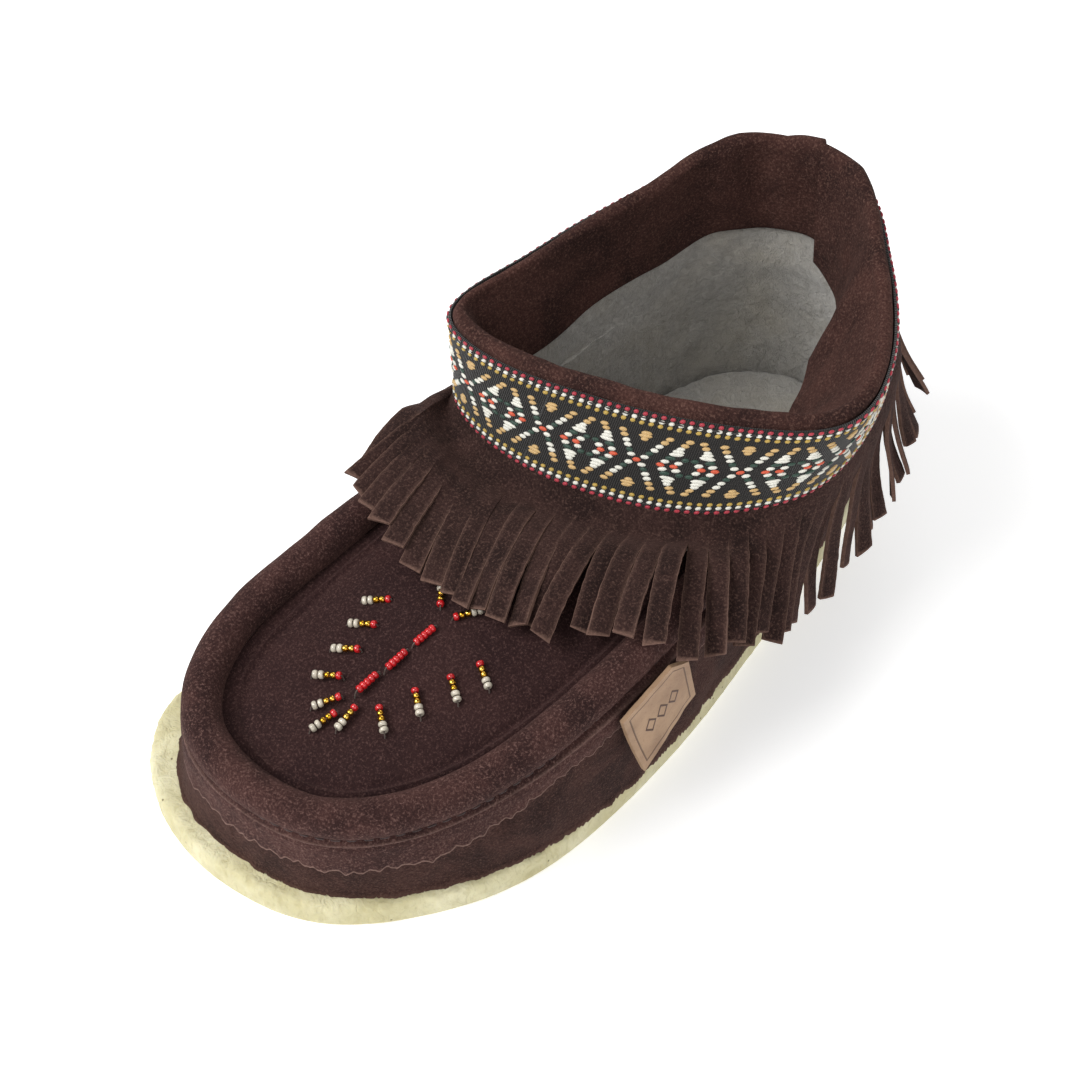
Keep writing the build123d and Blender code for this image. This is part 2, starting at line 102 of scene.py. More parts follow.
STRAND_TIPS = [(0.01, 8, -43, 60.5), (0.05, 23, -40, 60), (0.076, 30.5, -37.5, 60.5),
               (0.09, 38, -33, 62.5), (0.115, 50, -31, 69.5), (0.135, 60, -25.5, 69),
               (0.15, 66.5, -15.5, 59), (0.165, 68, -8, 57), (0.18, 68, -1, 55), (0.20, 67, 9, 47),
               (0.225, 66, 20, 38), (0.25, 65.5, 33, 34), (0.28, 65, 48, 34), (0.31, 64.5, 61, 37),
               (0.35, 61.5, 79, 41), (0.40, 55, 100, 45), (0.45, 43, 121, 49), (0.50, 22, 134, 43),
               (0.55, -4, 137, 40), (0.60, -30, 130, 39), (0.65, -45, 110, 37), (0.70, -51, 86, 34),
               (0.75, -53, 62, 32), (0.80, -55, 40, 31), (0.84, -57, 24, 30), (0.86, -58, 14, 30),
               (0.873, -56.5, 0, 36), (0.885, -45, -34, 70), (0.905, -38, -37.5, 69),
               (0.925, -31, -40.5, 69), (0.945, -22, -43, 67), (0.965, -12, -44, 61.5),
               (0.985, -1, -44, 60.5), (1.01, 8, -43, 60.5)]

# Collar planes rise to the heel: height at y = 0, and rise per millimetre.
BASE_LEVEL = np.array((61.5, 0.06))
ROOT_LEVEL = np.array((66.0, 0.105))
FOOT_LEVEL = np.array((70.1, 0.12))
EDGE_LEVEL = np.array((90.0, 0.168))
TOP_LEVEL = np.array((92.3, 0.170))
FACING_LEVEL = np.array((63.0, 0.170))

SOLE_THICK = 9.0
FLEECE_Z = 14.6
FLEECE_THICK = 4.0
SUEDE = 1.6
LINING_DEPTH = 4.9
GROOVE_HEIGHT = 44.0
WALL_HEIGHT = 76.0
ROLL_RADIUS = 5.4
ROLL_SKIN = 1.2
ROLL_CAP = 3.5
SKIRT_LENGTH = 11.2
SKIRT_TOE_EXTRA = 4.2
SKIRT_THICK = 1.3
GROOVE_ANGLE = -48.0
SEAM_ANGLE = 208.0
CUFF_THICK = 4.6
BRAID_LIFT = 0.45
BRAID_THICK = 0.9
HEADER_THICK = 1.4
ROOT_OUTSET = 3.0
STRANDS_PER_GROUP = 6
STRAND_THICK = 1.4
STRAND_BOW = 4.0


# ---------------------------------------------------------------- curves and uneven values
def spline_pieces(knots, values, closed):
    """Second derivatives of the cubic spline through values at knots."""
    count = len(knots)
    step = np.diff(knots)
    slope = np.diff(values, axis=0) / step[:, None]
    system = np.zeros((count, count))
    right = np.zeros_like(values)
    for i in range(1, count - 1):
        system[i, i - 1:i + 2] = step[i - 1], 2 * (step[i - 1] + step[i]), step[i]
        right[i] = 6 * (slope[i] - slope[i - 1])
    if closed:
        system[0, 0], system[0, -1] = 1, -1
        system[-1, 0], system[-1, 1] = 2 * step[0], step[0]
        system[-1, -2], system[-1, -1] = step[-1], 2 * step[-1]
        right[-1] = 6 * (slope[0] - slope[-1])
    else:
        system[0, 0] = system[-1, -1] = 1
    return np.linalg.solve(system, right)


def spline_at(knots, values, bend, places):
    """The cubic spline's value at each place."""
    i = np.clip(np.searchsorted(knots, places, side="right") - 1, 0, len(knots) - 2)
    step = (knots[i + 1] - knots[i])[:, None]
    b = ((places - knots[i])[:, None]) / step
    a = 1 - b
    return (a * values[i] + b * values[i + 1]
            + ((a ** 3 - a) * bend[i] + (b ** 3 - b) * bend[i + 1]) * step ** 2 / 6)


def smooth(points, count, closed=False):
    """Evenly spaced points on a smooth curve through a few chosen ones."""
    values = np.array(points, float)
    if closed:
        values = np.vstack([values, values[:1]])
    knots = np.concatenate([[0], np.cumsum(np.linalg.norm(np.diff(values, axis=0), axis=1))])
    fine = np.linspace(0, knots[-1], 3000)
    curve = spline_at(knots, values, spline_pieces(knots, values, closed), fine)
    return even(curve, count, closed)


def even(curve, count, closed=False):
    """The same line with evenly spaced points."""
    run = np.concatenate([[0], np.cumsum(np.linalg.norm(np.diff(curve, axis=0), axis=1))])
    places = np.linspace(0, run[-1], count, endpoint=not closed)
    return np.stack([np.interp(places, run, curve[:, k]) for k in range(curve.shape[1])], axis=1)


def length_of(curve):
    """How long a line of points is."""
    return np.linalg.norm(np.diff(curve, axis=0), axis=1).sum()


def ramp(low, high, value):
    """0 below low, 1 above high, smooth between."""
    t = np.clip((value - low) / (high - low), 0, 1)
    return t * t * (3 - 2 * t)


def bell(value, centre, width):
    """A smooth hump, 1 at its centre."""
    return np.exp(-((value - centre) / width) ** 2)


def ring_gap(share, centre):
    """Distance between shares of the way round, from -0.5 to 0.5."""
    return (share - centre + 0.5) % 1 - 0.5


def uneven(points, size, seed):
    """Smooth uneven values, mostly from -1 to 1, with features about size apart."""
    points = np.asarray(points, float)
    if points.shape[-1] not in (2, 3) or points.ndim < 2:
        points = points[..., None]
    random = np.random.default_rng(seed)
    waves = random.normal(size=(14, points.shape[-1]))
    waves /= np.linalg.norm(waves, axis=1)[:, None]
    waves *= random.uniform(0.6, 1.5, (14, 1))
    phases = random.uniform(0, 2 * pi, 14)
    return np.sin(points @ waves.T * (2 * pi / (2 * size)) + phases).mean(axis=-1) * 2.4


def unit(vectors):
    """The same directions, one long."""
    return vectors / np.maximum(np.linalg.norm(vectors, axis=-1), 1e-9)[..., None]


# ---------------------------------------------------------------- meshes
PIECES = []


def new_piece(name, points, faces, materials, body="shoe", kinds=None, marks=None, crease=50):
    """A mesh object from millimetre points, with its place at rest kept for the materials."""
    mesh = bpy.data.meshes.new(name)
    points = np.asarray(points, float).reshape(-1, 3) * MM
    mesh.from_pydata(points.tolist(), [], faces)
    mesh.update()
    rest = mesh.attributes.new("rest", "FLOAT_VECTOR", "POINT")
    rest.data.foreach_set("vector", points.astype(np.float32).ravel())
    for key, values in (marks or {}).items():
        mark = mesh.attributes.new(key, "FLOAT", "POINT")
        mark.data.foreach_set("value", np.asarray(values, np.float32).ravel())
    for material in materials:
        mesh.materials.append(material)
    if kinds is not None:
        mesh.polygons.foreach_set("material_index", np.asarray(kinds, np.int32))
    mesh.polygons.foreach_set("use_smooth", np.ones(len(mesh.polygons), bool))
    mesh.set_sharp_from_angle(angle=radians(crease))
    piece = bpy.data.objects.new(name, mesh)
    bpy.context.scene.collection.objects.link(piece)
    if body:
        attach(piece, body)
    PIECES.append(piece)
    return piece


def quads(rows, columns, wrap_rows=False, wrap_columns=False, first=0):
    """Faces of a grid of points whose rows follow one another."""
    r = np.arange(rows if wrap_rows else rows - 1)
    c = np.arange(columns if wrap_columns else columns - 1)
    r, c = [a.ravel() for a in np.meshgrid(r, c, indexing="ij")]
    r1, c1 = (r + 1) % rows, (c + 1) % columns
    corners = np.stack([r * columns + c, r * columns + c1, r1 * columns + c1, r1 * columns + c], axis=1)
    return corners + first


def shell(outer, inner, wrap=False, flip=False):
    """Points and faces of a closed sheet between two grids; wrap joins the grid's first and last columns."""
    rows, columns = outer.shape[:2]
    points = np.concatenate([outer, inner[::-1]])
    faces = quads(2 * rows, columns, wrap_rows=True, wrap_columns=wrap)
    if not wrap:
        r = np.arange(rows - 1)
        near = np.stack([r, r + 1, 2 * rows - 2 - r, 2 * rows - 1 - r], axis=1) * columns
        faces = np.concatenate([faces, near, near[:, ::-1] + columns - 1])
    if flip:
        faces = faces[:, ::-1]
    return points.reshape(-1, 3), faces.tolist()


def grid_normals(grid, wrap=False):
    """Unit normals of a grid of points."""
    if wrap:
        along = np.roll(grid, -1, axis=1) - np.roll(grid, 1, axis=1)
    else:
        along = np.gradient(grid, axis=1)
    return unit(np.cross(along, np.gradient(grid, axis=0)))


def outward(normals, grid, centre):
    """The normals turned to point away from a centre."""
    if ((grid - np.array(centre)) * normals).sum() < 0:
        return -normals
    return normals


def disk_grid(outline, centre, rings):
    """A square grid of points pulled onto the inside of an outline, and each point's share of the way out."""
    side = np.linspace(-1, 1, 2 * rings + 1)
    b, a = np.meshgrid(side, side, indexing="ij")
    out = np.maximum(np.abs(a), np.abs(b))
    turn = np.select([(a >= np.abs(b)), (b >= np.abs(a)), (-a >= np.abs(b))],
                     [b / np.maximum(out, 1e-9), 2 - a / np.maximum(out, 1e-9), 4 - b / np.maximum(out, 1e-9)],
                     6 + a / np.maximum(out, 1e-9))
    place = ((turn + 1) / 8 % 1) * len(outline)
    i = place.astype(int) % len(outline)
    part = (place - np.floor(place))[..., None]
    edge = outline[i] * (1 - part) + outline[(i + 1) % len(outline)] * part
    return np.array(centre) + (edge - np.array(centre)) * out[..., None], out


# ---------------------------------------------------------------- material nodes
def colour(red, green, blue):
    """A display colour from 0 to 255 as the linear colour that the shader takes."""
    return tuple(((c / 255 + 0.055) / 1.055) ** 2.4 if c > 10 else c / 255 / 12.92
                 for c in (red, green, blue)) + (1.0,)


class Paint:
    """A node material whose textures follow each piece's place at rest."""

    def __init__(self, name, roughness, base=None, **constants):
        self.material = bpy.data.materials.new(name)
        self.material.use_nodes = True
        self.tree = self.material.node_tree
        self.shader = self.tree.nodes["Principled BSDF"]
        self.shader.inputs["Roughness"].default_value = roughness
        if base:
            self.shader.inputs["Base Color"].default_value = base
        for key, value in constants.items():
            self.shader.inputs[key.replace("_", " ")].default_value = value
        self.place = self.mark("rest", "Vector")

    def node(self, kind, **settings):
        made = self.tree.nodes.new(kind)
        for key, value in settings.items():
            setattr(made, key, value)
        return made

    def put(self, value, socket):
        """Link a socket, or set a constant."""
        if isinstance(value, bpy.types.NodeSocket):
            self.tree.links.new(value, socket)
        else:
            socket.default_value = value

    def mark(self, key, output="Fac"):
        """A value stored on the mesh."""
        return self.node("ShaderNodeAttribute", attribute_name=key).outputs[output]

    def stretch(self, x, y, z):
        """The place at rest, scaled along each axis."""
        made = self.node("ShaderNodeMapping")
        made.inputs["Scale"].default_value = (x, y, z)
        self.put(self.place, made.inputs["Vector"])
        return made.outputs["Vector"]

    def noise(self, size, detail=3.0, rough=0.5, place=None, warp=0.0):
        """Cloudy values with features about size millimetres across."""
        made = self.node("ShaderNodeTexNoise")
        self.put(place or self.place, made.inputs["Vector"])
        made.inputs["Scale"].default_value = 1 / (size * MM)
        made.inputs["Detail"].default_value = detail
        made.inputs["Roughness"].default_value = rough
        made.inputs["Distortion"].default_value = warp
        return made.outputs["Fac"]

    def cells(self, size, feature="F1", spread=1.0, place=None):
        """Distances to scattered points about size millimetres apart."""
        made = self.node("ShaderNodeTexVoronoi", feature=feature)
        self.put(place or self.place, made.inputs["Vector"])
        made.inputs["Scale"].default_value = 1 / (size * MM)
        made.inputs["Randomness"].default_value = spread
        return made.outputs["Distance"]

    def steps(self, value, low, high, at_low=0.0, at_high=1.0):
        """A value stretched from low..high to at_low..at_high, held at both ends."""
        made = self.node("ShaderNodeMapRange", clamp=True)
        for key, setting in (("Value", value), ("From Min", low), ("From Max", high),
                             ("To Min", at_low), ("To Max", at_high)):
            self.put(setting, made.inputs[key])
        return made.outputs["Result"]

    def maths(self, operation, first, second=0.0):
        made = self.node("ShaderNodeMath", operation=operation)
        self.put(first, made.inputs[0])
        self.put(second, made.inputs[1])
        return made.outputs[0]

    def mix(self, share, first, second):
        """A colour part of the way from first to second."""
        made = self.node("ShaderNodeMix", data_type="RGBA")
        self.put(share, made.inputs[0])
        self.put(first, made.inputs[6])
        self.put(second, made.inputs[7])
        return made.outputs[2]

    def bump(self, height, depth, below=None):
        """Raise the surface by height times depth millimetres."""
        made = self.node("ShaderNodeBump")
        made.inputs["Strength"].default_value = 1.0
        made.inputs["Distance"].default_value = depth * MM
        self.put(height, made.inputs["Height"])
        if below:
            self.put(below, made.inputs["Normal"])
        return made.outputs["Normal"]

    def done(self, base, normal=None):
        self.put(base, self.shader.inputs["Base Color"])
        if normal:
            self.put(normal, self.shader.inputs["Normal"])
        return self.material


def suede(name, dark, mid, light, blotch=10.0, contrast=0.5, edge=None):
    """Napped leather: brushed blotches, a fine speckle of fibres and a soft sheen."""
    paint = Paint(name, 0.95, Sheen_Weight=0.12, Sheen_Roughness=0.5, Specular_IOR_Level=0.08)
    paint.shader.inputs["Sheen Tint"].default_value = colour(190, 150, 140)
    brushed = paint.noise(blotch, 2.0, 0.55, warp=0.6)
    nap = paint.noise(2.0, 3.0, 0.6, warp=0.4)
    fibre = paint.noise(0.7, 5.0, 0.8)
    spread = 0.14 / (0.4 + contrast)
    base = paint.mix(paint.steps(brushed, 0.5 - spread, 0.5 + spread), dark, mid)
    base = paint.mix(paint.steps(nap, 0.3, 0.75, 0.0, 0.5), base, mid)
    base = paint.mix(paint.steps(fibre, 0.52, 0.66, 0.0, 0.8), base, light)
    base = paint.mix(paint.steps(fibre, 0.48, 0.36, 0.0, 0.75), base, dark)
    # The edge colour goes where the mesh's cut mark is: on cut edges, and on the roll's seam ridge as a painted
    # highlight.
    if edge:
        base = paint.mix(paint.maths("MULTIPLY", paint.mark("cut"), paint.steps(fibre, 0.3, 0.6, 0.5, 1.0)),
                         base, edge)
    normal = paint.bump(nap, 0.5)
    normal = paint.bump(fibre, 0.35, normal)
    return paint.done(base, normal)


def fleece_material():
    paint = Paint("fleece_pile", 1.0, Sheen_Weight=0.6, Sheen_Roughness=0.6, Specular_IOR_Level=0.1)
    tuft = paint.noise(2.6, 4.0, 0.65, warp=1.2)
    hair = paint.noise(0.5, 3.0, 0.7)
    shade = paint.noise(22, 2.0, 0.5)
    # Both pile colours are kept grey, well below the off-white of the real fleece: painted shade for the dim
    # inside of the shoe, where all of this pile sits.
    base = paint.mix(paint.steps(tuft, 0.3, 0.7), colour(146, 141, 133), colour(188, 184, 176))
    base = paint.mix(paint.steps(shade, 0.4, 0.7, 0.0, 0.5), base, colour(174, 165, 146))
    normal = paint.bump(tuft, 1.1)
    normal = paint.bump(hair, 0.4, normal)
    return paint.done(base, normal)


def crepe_material():
    paint = Paint("crepe_rubber", 0.62, Specular_IOR_Level=0.35)
    paint.shader.inputs["Subsurface Weight"].default_value = 0.12
    paint.shader.inputs["Subsurface Radius"].default_value = (0.004, 0.003, 0.0015)
    paint.shader.inputs["Subsurface Scale"].default_value = 0.4
    cloud = paint.noise(14, 3.0, 0.5)
    crinkle = paint.noise(3.2, 3.0, 0.55, place=paint.stretch(1, 1, 0.6), warp=1.2)
    grain = paint.noise(0.6, 2.0, 0.5)
    speck = paint.cells(5.5, place=paint.place)
    base = paint.mix(paint.steps(cloud, 0.35, 0.65), colour(198, 190, 148), colour(219, 213, 178))
    base = paint.mix(paint.steps(crinkle, 0.5, 0.3, 0.0, 0.4), base, colour(172, 162, 118))
    base = paint.mix(paint.steps(speck, 0.075, 0.045, 0.0, 0.85), base, colour(92, 78, 44))
    normal = paint.bump(crinkle, 0.75)
    normal = paint.bump(grain, 0.15, normal)
    return paint.done(base, normal)


def thread_material(name, tone, shine=0.5, pitch=0.32):
    """Twisted or floated yarn: fine strands along the stitch."""
    paint = Paint(name, shine, Sheen_Weight=0.25, Specular_IOR_Level=0.45)
    strands = paint.noise(pitch, 2.0, 0.6)
    deep = tuple(c * 0.62 for c in tone[:3]) + (1.0,)
    base = paint.mix(paint.steps(strands, 0.3, 0.62), deep, tone)
    return paint.done(base, paint.bump(strands, 0.12))


def braid_material():
    """Near-black ribbed ground of the woven band; along and up are millimetres on the cloth."""
    paint = Paint("braid_ground", 0.8, Sheen_Weight=0.2, Specular_IOR_Level=0.3)
    joined = paint.node("ShaderNodeCombineXYZ")
    paint.put(paint.mark("along"), joined.inputs[0])
    paint.put(paint.mark("up"), joined.inputs[1])
    ribs = paint.node("ShaderNodeTexWave", wave_type="BANDS", bands_direction="X")
    paint.put(joined.outputs[0], ribs.inputs["Vector"])
    ribs.inputs["Scale"].default_value = 0.31 / 0.62
    ribs.inputs["Distortion"].default_value = 0.5
    picks = paint.node("ShaderNodeTexWave", wave_type="BANDS", bands_direction="Y")
    paint.put(joined.outputs[0], picks.inputs["Vector"])
    picks.inputs["Scale"].default_value = 0.31 / 0.45
    rib, pick = ribs.outputs["Fac"], picks.outputs["Fac"]
    weave = paint.maths("MULTIPLY", rib, paint.steps(pick, 0, 1, 0.6, 1.0))
    fuzz = paint.noise(0.4, 2.0, 0.6)
    base = paint.mix(weave, colour(14, 13, 13), colour(44, 40, 37))
    base = paint.mix(paint.steps(fuzz, 0.55, 0.8, 0.0, 0.4), base, colour(70, 62, 56))
    return paint.done(base, paint.bump(weave, 0.35))


def tag_material():
    """Vegetable-tanned leather with a plain burnt border and a row of diamonds."""
    paint = Paint("tag_leather", 0.6, Specular_IOR_Level=0.35)
    grain = paint.noise(0.9, 4.0, 0.6)
    stain = paint.noise(9, 2.0, 0.5)
    base = paint.mix(paint.steps(stain, 0.35, 0.65), colour(146, 116, 90), colour(168, 137, 108))
    base = paint.mix(paint.steps(grain, 0.55, 0.75, 0.0, 0.5), base, colour(122, 86, 66))
    burnt = paint.mark("burnt")
    base = paint.mix(burnt, base, colour(70, 42, 30))
    normal = paint.bump(grain, 0.18)
    normal = paint.bump(paint.maths("MULTIPLY", burnt, -1.0), 0.15, normal)
    return paint.done(base, normal)


def glass_material(name, tone, roughness=0.12):
    """A glossy seed bead with faint cloudy colour."""
    paint = Paint(name, roughness, Specular_IOR_Level=0.6, Coat_Weight=0.5, Coat_Roughness=0.06)
    cloud = paint.noise(1.4, 2.0, 0.5)
    deep = tuple(c * 0.7 for c in tone[:3]) + (1.0,)
    return paint.done(paint.mix(paint.steps(cloud, 0.35, 0.65), deep, tone))


SUEDE_WALL = suede("suede_wall", colour(28, 18, 18), colour(60, 40, 36), colour(98, 73, 66), 17, 1.0,
                   edge=colour(92, 68, 60))
SUEDE_PLUG = suede("suede_plug", colour(40, 26, 27), colour(56, 37, 36), colour(98, 73, 69), 26)
# The roll's edge colour also serves as the painted highlight on its seam ridge.
SUEDE_ROLL = suede("suede_roll", colour(40, 26, 26), colour(70, 47, 44), colour(126, 96, 89), 16, 0.7,
                   edge=colour(146, 118, 108))
SUEDE_CUFF = suede("suede_cuff", colour(38, 25, 24), colour(72, 47, 42), colour(116, 87, 77), 20, 0.6)
SUEDE_FRINGE = suede("suede_fringe", colour(32, 22, 21), colour(56, 39, 36), colour(98, 75, 67), 13, 0.7,
                     edge=colour(122, 95, 84))
FLEECE = fleece_material()
CREPE = crepe_material()
BRAID_GROUND = braid_material()
DARK_THREAD = thread_material("dark_thread", colour(58, 36, 33), 0.7)
BLACK_THREAD = thread_material("black_thread", colour(30, 27, 26), 0.6)
TAG_LEATHER = tag_material()
BEAD_WHITE = glass_material("bead_white", colour(214, 204, 186), 0.18)
BEAD_RED = glass_material("bead_red", colour(205, 28, 34), 0.1)
BEAD_GOLD = Paint("bead_gold", 0.16, Metallic=1.0)
BEAD_GOLD = BEAD_GOLD.done(BEAD_GOLD.mix(BEAD_GOLD.steps(BEAD_GOLD.noise(0.9), 0.4, 0.6),
                                         colour(196, 142, 38), colour(240, 200, 92)))
CLEAR_THREAD = thread_material("clear_thread", colour(92, 78, 70), 0.35)
FOAM = Paint("foam_filler", 0.9)
FOAM.place = FOAM.node("ShaderNodeTexCoord").outputs["Object"]
FOAM_POROUS = FOAM.done(FOAM.mix(FOAM.steps(FOAM.cells(0.9), 0.1, 0.6), colour(214, 206, 182),
                                 colour(236, 230, 210)), FOAM.bump(FOAM.cells(0.9), 0.3))


# ---------------------------------------------------------------- outlines of the shoe
def inset(points, distance):
    """Move a counter-clockwise loop inwards."""
    run = unit(np.roll(points, -1, 0) - np.roll(points, 1, 0))
    return points + np.stack([-run[:, 1], run[:, 0]], axis=1) * distance


def with_height(plan, height):
    """Plan points at a height, one number or one for each."""
    return np.column_stack([plan, np.broadcast_to(height, len(plan))])


def wall_plan(height, depth, count):
    """The wall's outline at a height, moved inwards by depth."""
    base, groove, top = (np.array(p, float) for p in (WALL_BASE, WALL_GROOVE, WALL_TOP))
    if height <= GROOVE_HEIGHT:
        share = (height - SOLE_THICK) / (GROOVE_HEIGHT - SOLE_THICK)
        plan = base + (groove - base) * share
    else:
        share = (height - GROOVE_HEIGHT) / (WALL_HEIGHT - GROOVE_HEIGHT)
        plan = groove + (top - groove) * share
    return smooth(inset(plan, depth), count, closed=True)


def collar_loop(level, outset, count):
    """Points round the collar on a rising plane, moved outwards by outset."""
    base, top = np.array(CUFF_BASE, float), np.array(CUFF_TOP, float)
    low = BASE_LEVEL[0] + BASE_LEVEL[1] * base[:, 1]
    high = TOP_LEVEL[0] + TOP_LEVEL[1] * top[:, 1]
    run = high - low - level[1] * (top[:, 1] - base[:, 1])
    share = ((level[0] + level[1] * base[:, 1] - low) / run)[:, None]
    plan = smooth(inset(base + (top - base) * share, -outset), count, closed=True)
    return with_height(plan, level[0] + level[1] * plan[:, 1])


ARCHES = np.array(PLUG_ARCHES, float)
ARCH_BEND = spline_pieces(ARCHES[:, 0], ARCHES[:, 1:], False)


def plug_height(x, y):
    """Height of the plug's upper face."""
    shape = np.shape(y)
    across = spline_at(ARCHES[:, 0], ARCHES[:, 1:], ARCH_BEND, np.ravel(y))
    middle, edge = across[:, 0].reshape(shape), across[:, 1].reshape(shape)
    return middle - (middle - edge) * (x / PLUG_HALF) ** 2


# ---------------------------------------------------------------- sole and footbed
def make_sole():
    """Crepe sole: lumpy cut edge, crinkled ledge round the toe."""
    count = 900
    plan = smooth(SOLE_PLAN, count, closed=True)
    profile = [(5.0, 0.0), (0.9, 0.0), (0.25, 0.5), (0.0, 1.4), (0.0, 3.2), (0.1, 5.0), (0.1, 6.6),
               (0.35, 7.8), (1.0, 8.7), (2.2, 9.1)]
    profile += [(2.2 + step * 1.3, 9.1) for step in range(1, 11)]
    rows = []
    for depth, height in profile:
        loop = with_height(inset(plan, depth), height)
        side = 0.55 * uneven(loop, 9.0, 11) + 0.3 * uneven(loop, 3.2, 12) + 0.14 * uneven(loop, 1.3, 13)
        lift = 0.3 * uneven(loop, 5.0, 14) + 0.16 * uneven(loop, 1.8, 15)
        out = unit(inset(plan, -1.0) - plan)
        loop[:, :2] += out * (np.minimum(side, 0.5) * ramp(0.0, 3.0, height) * ramp(12, 3, depth))[:, None]
        loop[:, 2] += lift * ramp(5.0, 8.7, height) * ramp(16, 9, depth)
        rows.append(loop)
    grid = np.array(rows)
    faces = quads(len(rows), count, wrap_columns=True).tolist()
    points = grid.reshape(-1, 3)
    bottom, top = np.arange(count)[::-1], np.arange(count) + (len(rows) - 1) * count
    middle = len(points)
    points = np.vstack([points, [[0, 0, 0.0]], [[0, 0, 9.1]]])
    faces += [(int(bottom[i]), int(bottom[(i + 1) % count]), middle) for i in range(count)]
    faces += [(int(top[i]), int(top[(i + 1) % count]), middle + 1) for i in range(count)]
    piece = new_piece("crepe_sole", points, faces, [CREPE], crease=60)
    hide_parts("crepe_outsole")
    return piece


def make_footbed():
    """Fleece pad with a rounded edge, so that its heel shows as an arc against the lining."""
    rings = 80
    outline = wall_plan(FLEECE_Z, LINING_DEPTH + 0.3, 900)
    plan, out = disk_grid(outline, (0, 0), rings)
    x, y = plan[..., 0], plan[..., 1]
    room = (1 - out) * np.linalg.norm(plan / np.maximum(out, 1e-3)[..., None], axis=-1)
    places = np.stack([x, y], axis=-1)
    tufts = 0.45 * uneven(places, 9, 21) + 0.25 * uneven(places, 3, 22)
    crown = FLEECE_THICK + 1.2 + 0.9 * ramp(0, 18, room) + tufts
    edge = np.sqrt(np.clip(1 - (1 - np.clip(room / 4.5, 0, 1)) ** 2, 0, 1))
    top = np.stack([x, y, FLEECE_Z + 0.4 + (crown - 0.4) * edge], axis=-1)
    under = np.stack([x, y, np.full_like(x, FLEECE_Z)], axis=-1)
    points, faces = shell(top, under)
    piece = new_piece("footbed_pile", points, faces, [FLEECE], crease=80)
    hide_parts("footbed_fleece")
    return piece


# ---------------------------------------------------------------- wall and lining
def wall_top(y):
    """Height of the wall's upper edge."""
    edge = np.array(WALL_EDGE, float)
    return np.interp(y, edge[:, 0], edge[:, 1])


def make_wall():
    """Suede side wall: soft puckers under the roll, a raw edge on the sole."""
    count, rows = 1500, 30
    plans = np.array([wall_plan(h, 0, count) for h in np.linspace(SOLE_THICK, WALL_HEIGHT, 40)])
    levels = np.linspace(SOLE_THICK, WALL_HEIGHT, 40)
    run = np.linspace(0, length_of(plans[0]), count)
    ragged = uneven(run, 0.8, 31) * 0.65 + uneven(run, 2.3, 32) * 0.5
    grid = np.zeros((rows, count, 3))
    top = wall_top(plans[10][:, 1])
    for row, share in enumerate(np.linspace(0, 1, rows)):
        height = SOLE_THICK + 0.1 + (top - SOLE_THICK) * share
        place = np.interp(height, levels, np.arange(40))
        i = np.clip(place.astype(int), 0, 38)
        part = (place - i)[:, None]
        c = np.arange(count)
        plan = plans[i, c] * (1 - part) + plans[i + 1, c] * part
        height = height + ragged * ramp(0.06, 0.0, share)
        out = unit(inset(plan, -1.0) - plan)
        at = np.column_stack([plan, height])
        toe = ramp(-20, -90, plan[:, 1])
        soft = 0.7 * sin(pi * share) + 0.55 * uneven(at, 14, 33) * sin(pi * min(share + 0.15, 1))
        pucker = 0.75 * uneven(np.column_stack([run, height * 0.35]), 6.0, 34) * share * (0.35 + toe)
        flare = 0.7 * ramp(0.1, 0.0, share) * (0.7 + 0.5 * uneven(run, 4, 35))
        push = np.minimum(soft + pucker + flare, 1.6)
        grid[row] = np.column_stack([plan + out * push[:, None], height])
    normals = outward(grid_normals(grid, wrap=True), grid, (0, 0, 30))
    inner = grid - normals * (SUEDE - 0.2)
    cut = np.zeros((2 * rows, count))
    cut[0] = cut[-1] = 1.0
    cut[1] = 0.4
    points, faces = shell(grid, inner, wrap=True)
    piece = new_piece("wall_suede", points, faces, [SUEDE_WALL], marks={"cut": cut})
    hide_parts("side_upper")
    return piece


def make_lining():
    """Fleece inside the wall, up to the roll and the cuff."""
    count, rows = 700, 26
    low = FLEECE_Z - 3.0
    grid = np.zeros((rows, count, 3))
    top = wall_top(wall_plan(50, LINING_DEPTH, count)[:, 1]) - 4.0
    plans = {h: wall_plan(h, LINING_DEPTH, count) for h in np.linspace(low, 66, 24)}
    levels = np.array(list(plans))
    stack = np.array(list(plans.values()))
    c = np.arange(count)
    for row, share in enumerate(np.linspace(0, 1, rows)):
        height = low + (top - low) * share
        place = np.interp(height, levels, np.arange(24))
        i = np.clip(place.astype(int), 0, 22)
        part = (place - i)[:, None]
        plan = stack[i, c] * (1 - part) + stack[i + 1, c] * part
        at = np.column_stack([plan, height])
        out = unit(inset(plan, -1.0) - plan)
        pile = 0.5 * uneven(at, 8, 41) + 0.25 * uneven(at, 3, 42) - 0.1
        grid[row] = np.column_stack([plan - out * np.clip(pile, -0.4, 0.8)[:, None], height])
    normals = outward(grid_normals(grid, wrap=True), grid, (0, 0, 30))
    points, faces = shell(grid + normals * 2.6, grid, wrap=True)
    piece = new_piece("lining_pile", points, faces, [FLEECE], crease=80)
    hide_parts("fleece_lining")
    return piece


